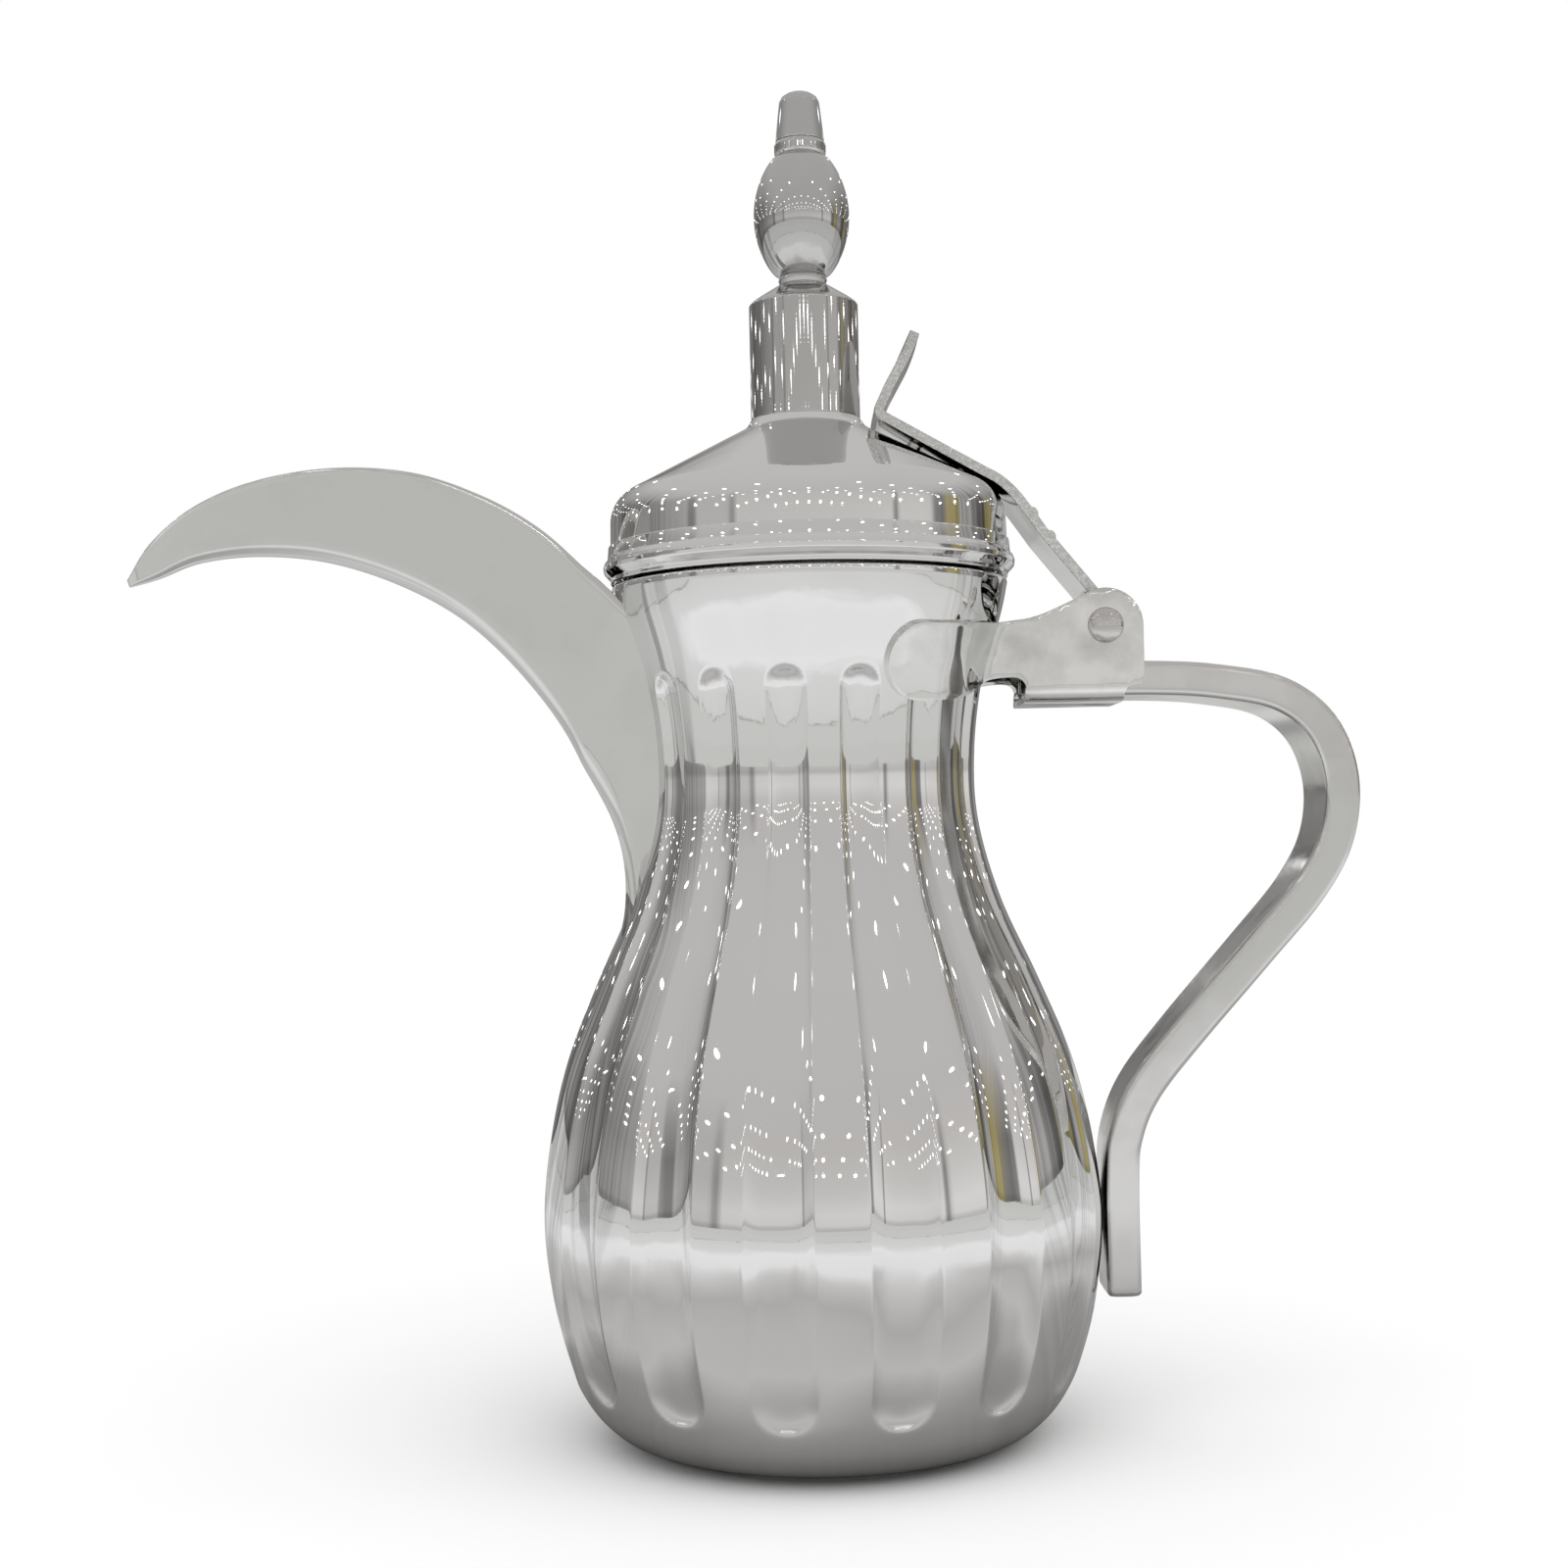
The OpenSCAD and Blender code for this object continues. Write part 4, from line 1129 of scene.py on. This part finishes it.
def make_room():
    """Even studio surroundings: pale walls with a few panels, and a ceiling of small lamps."""
    world = bpy.data.worlds.new("studio_room")
    bpy.context.scene.world = world
    world.use_nodes = True
    tree = world.node_tree
    tree.nodes.clear()
    at = add_node(tree, "ShaderNodeTexCoord").outputs["Generated"]
    xyz = add_node(tree, "ShaderNodeSeparateXYZ", Vector=at).outputs
    height = sum_up(tree, "MULTIPLY_ADD", xyz[2], 0.5, 0.5)
    bands = add_node(tree, "ShaderNodeValToRGB", Fac=height)
    set_stops(bands.color_ramp, [
        (0.0, (0.42, 0.41, 0.40)), (0.47, (0.58, 0.575, 0.57)), (0.494, (0.57, 0.565, 0.56)),
        (0.4975, (0.51, 0.505, 0.50)), (0.501, (0.53, 0.525, 0.52)), (0.508, (0.70, 0.695, 0.69)),
        (0.53, (0.73, 0.725, 0.72)), (0.57, (0.62, 0.61, 0.60)), (0.62, (0.57, 0.555, 0.545)),
        (1.0, (0.62, 0.605, 0.595))])
    around = sum_up(tree, "MULTIPLY_ADD", sum_up(tree, "ARCTAN2", xyz[1], xyz[0]),
                    0.5 / math.pi, 0.5)
    panels = add_node(tree, "ShaderNodeValToRGB", Fac=around)
    gold = (0.74, 0.64, 0.30)
    set_stops(panels.color_ramp, [
        (0.0, grey(0.65)), (0.045, grey(0.7)), (0.051, grey(0.35)), (0.06, grey(0.35)),
        (0.067, grey(0.85)), (0.12, grey(0.85)), (0.126, grey(0.5)), (0.13, grey(0.5)),
        (0.136, grey(1.0)), (0.33, grey(1.05)), (0.384, grey(1.1)), (0.388, grey(0.42)),
        (0.391, grey(0.42)), (0.396, grey(1.1)), (0.455, grey(1.1)), (0.463, grey(0.4)),
        (0.480, grey(0.35)), (0.488, gold), (0.512, gold), (0.522, grey(0.9)),
        (0.555, grey(0.85)), (0.562, grey(0.3)), (0.582, grey(0.3)), (0.59, gold),
        (0.610, gold), (0.62, grey(0.8)), (0.66, grey(0.4)), (0.68, grey(0.75)),
        (0.86, grey(0.7)), (0.87, grey(0.35)), (0.90, grey(0.4)), (0.91, grey(0.65))])
    keep = fade(tree, xyz[2], 0.14, 0.40, 1.0, 0.0)
    walls = add_node(tree, "ShaderNodeMix", {"data_type": "RGBA", "blend_type": "MULTIPLY"})
    tree.links.new(keep, walls.inputs[0])
    tree.links.new(bands.outputs["Color"], walls.inputs[6])
    tree.links.new(panels.outputs["Color"], walls.inputs[7])
    stripes = add_node(tree, "ShaderNodeTexNoise", {"noise_dimensions": "1D"}, W=around, Scale=95.0,
                       Detail=3.0, Roughness=0.7).outputs["Fac"]
    stripes = fade(tree, stripes, 0.36, 0.58, 0.42, 1.0)
    behind = fade(tree, xyz[1], -0.35, 0.35, 0.0, 1.0)
    low = fade(tree, xyz[2], 0.30, 0.62, 1.0, 0.0)
    behind = sum_up(tree, "MULTIPLY", behind, low)
    dim = sum_up(tree, "MULTIPLY", stripes, 0.66)
    shade = sum_up(tree, "ADD", sum_up(tree, "SUBTRACT", 1.0, behind), sum_up(tree, "MULTIPLY", behind, dim))
    shade = even(tree, shade)
    streaked = add_node(tree, "ShaderNodeMix", {"data_type": "RGBA", "blend_type": "MULTIPLY"})
    streaked.inputs[0].default_value = 1.0
    tree.links.new(walls.outputs[2], streaked.inputs[6])
    tree.links.new(shade, streaked.inputs[7])
    over = sum_up(tree, "MAXIMUM", xyz[2], 0.02)
    grid = []
    for axis, step, shift in ((0, 0.62, 0.5), (1, 1.15, 0.3)):
        run = sum_up(tree, "DIVIDE", sum_up(tree, "DIVIDE", xyz[axis], over), step)
        cell = sum_up(tree, "FRACT", sum_up(tree, "ADD", run, shift))
        cell = sum_up(tree, "SUBTRACT", cell, 0.5)
        grid.append(sum_up(tree, "MULTIPLY", cell, cell))
    away = sum_up(tree, "SQRT", sum_up(tree, "ADD", grid[0], grid[1]))
    size = sum_up(tree, "ADD", sum_up(tree, "DIVIDE", 0.014, over), 0.03)
    lamp = sum_up(tree, "MAXIMUM", sum_up(tree, "SUBTRACT", 1.0, sum_up(tree, "DIVIDE", away, size)), 0.0)
    lamp = sum_up(tree, "MULTIPLY", lamp, sum_up(tree, "GREATER_THAN", xyz[2], 0.17))
    lamp = sum_up(tree, "MULTIPLY", lamp, sum_up(tree, "LESS_THAN", xyz[2], 0.70))
    lamp = sum_up(tree, "MULTIPLY", lamp, 15.0)
    glow = add_node(tree, "ShaderNodeMix", {"data_type": "RGBA", "blend_type": "ADD"})
    glow.inputs[0].default_value = 1.0
    shine = even(tree, lamp)
    tree.links.new(streaked.outputs[2], glow.inputs[6])
    tree.links.new(shine, glow.inputs[7])
    mirrored = add_node(tree, "ShaderNodeBackground", Strength=1.0, Color=glow.outputs[2]).outputs[0]
    soft = add_node(tree, "ShaderNodeBackground", Strength=0.78, Color=(1, 1, 1, 1)).outputs[0]
    blank = add_node(tree, "ShaderNodeBackground", Strength=1.0, Color=(1, 1, 1, 1)).outputs[0]
    path = add_node(tree, "ShaderNodeLightPath").outputs
    first = add_node(tree, "ShaderNodeMixShader", Fac=path["Is Glossy Ray"])
    tree.links.new(soft, first.inputs[1])
    tree.links.new(mirrored, first.inputs[2])
    second = add_node(tree, "ShaderNodeMixShader", Fac=path["Is Camera Ray"])
    tree.links.new(first.outputs[0], second.inputs[1])
    tree.links.new(blank, second.inputs[2])
    out = tree.nodes.new("ShaderNodeOutputWorld")
    tree.links.new(second.outputs[0], out.inputs["Surface"])


def make_lights():
    """One very soft light from above the camera, kept out of the mirror finish."""
    lamp = bpy.data.lights.new("overhead_softbox", "SUN")
    lamp.energy = 1.25
    lamp.angle = math.radians(75)
    holder = bpy.data.objects.new("overhead_softbox", lamp)
    holder.rotation_euler = (math.radians(22), math.radians(10), 0)
    holder.visible_glossy = False
    holder.visible_camera = False
    bpy.context.collection.objects.link(holder)


def make_camera():
    lens = bpy.data.cameras.new("studio_camera")
    lens.sensor_width = 36
    lens.lens = 51.75
    lens.clip_start = 0.01
    lens.clip_end = 50
    holder = bpy.data.objects.new("studio_camera", lens)
    bpy.context.collection.objects.link(holder)
    aim = Matrix.Rotation(math.radians(90 + 1.1), 4, "X")
    roll = Matrix.Rotation(math.radians(-1.2), 4, "Z")
    holder.matrix_world = Matrix.Translation((-0.006, -0.460, 0.1224)) @ aim @ roll
    bpy.context.scene.camera = holder


make_floor()
make_room()
make_lights()
make_camera()
bpy.context.scene.view_settings.view_transform = "Standard"
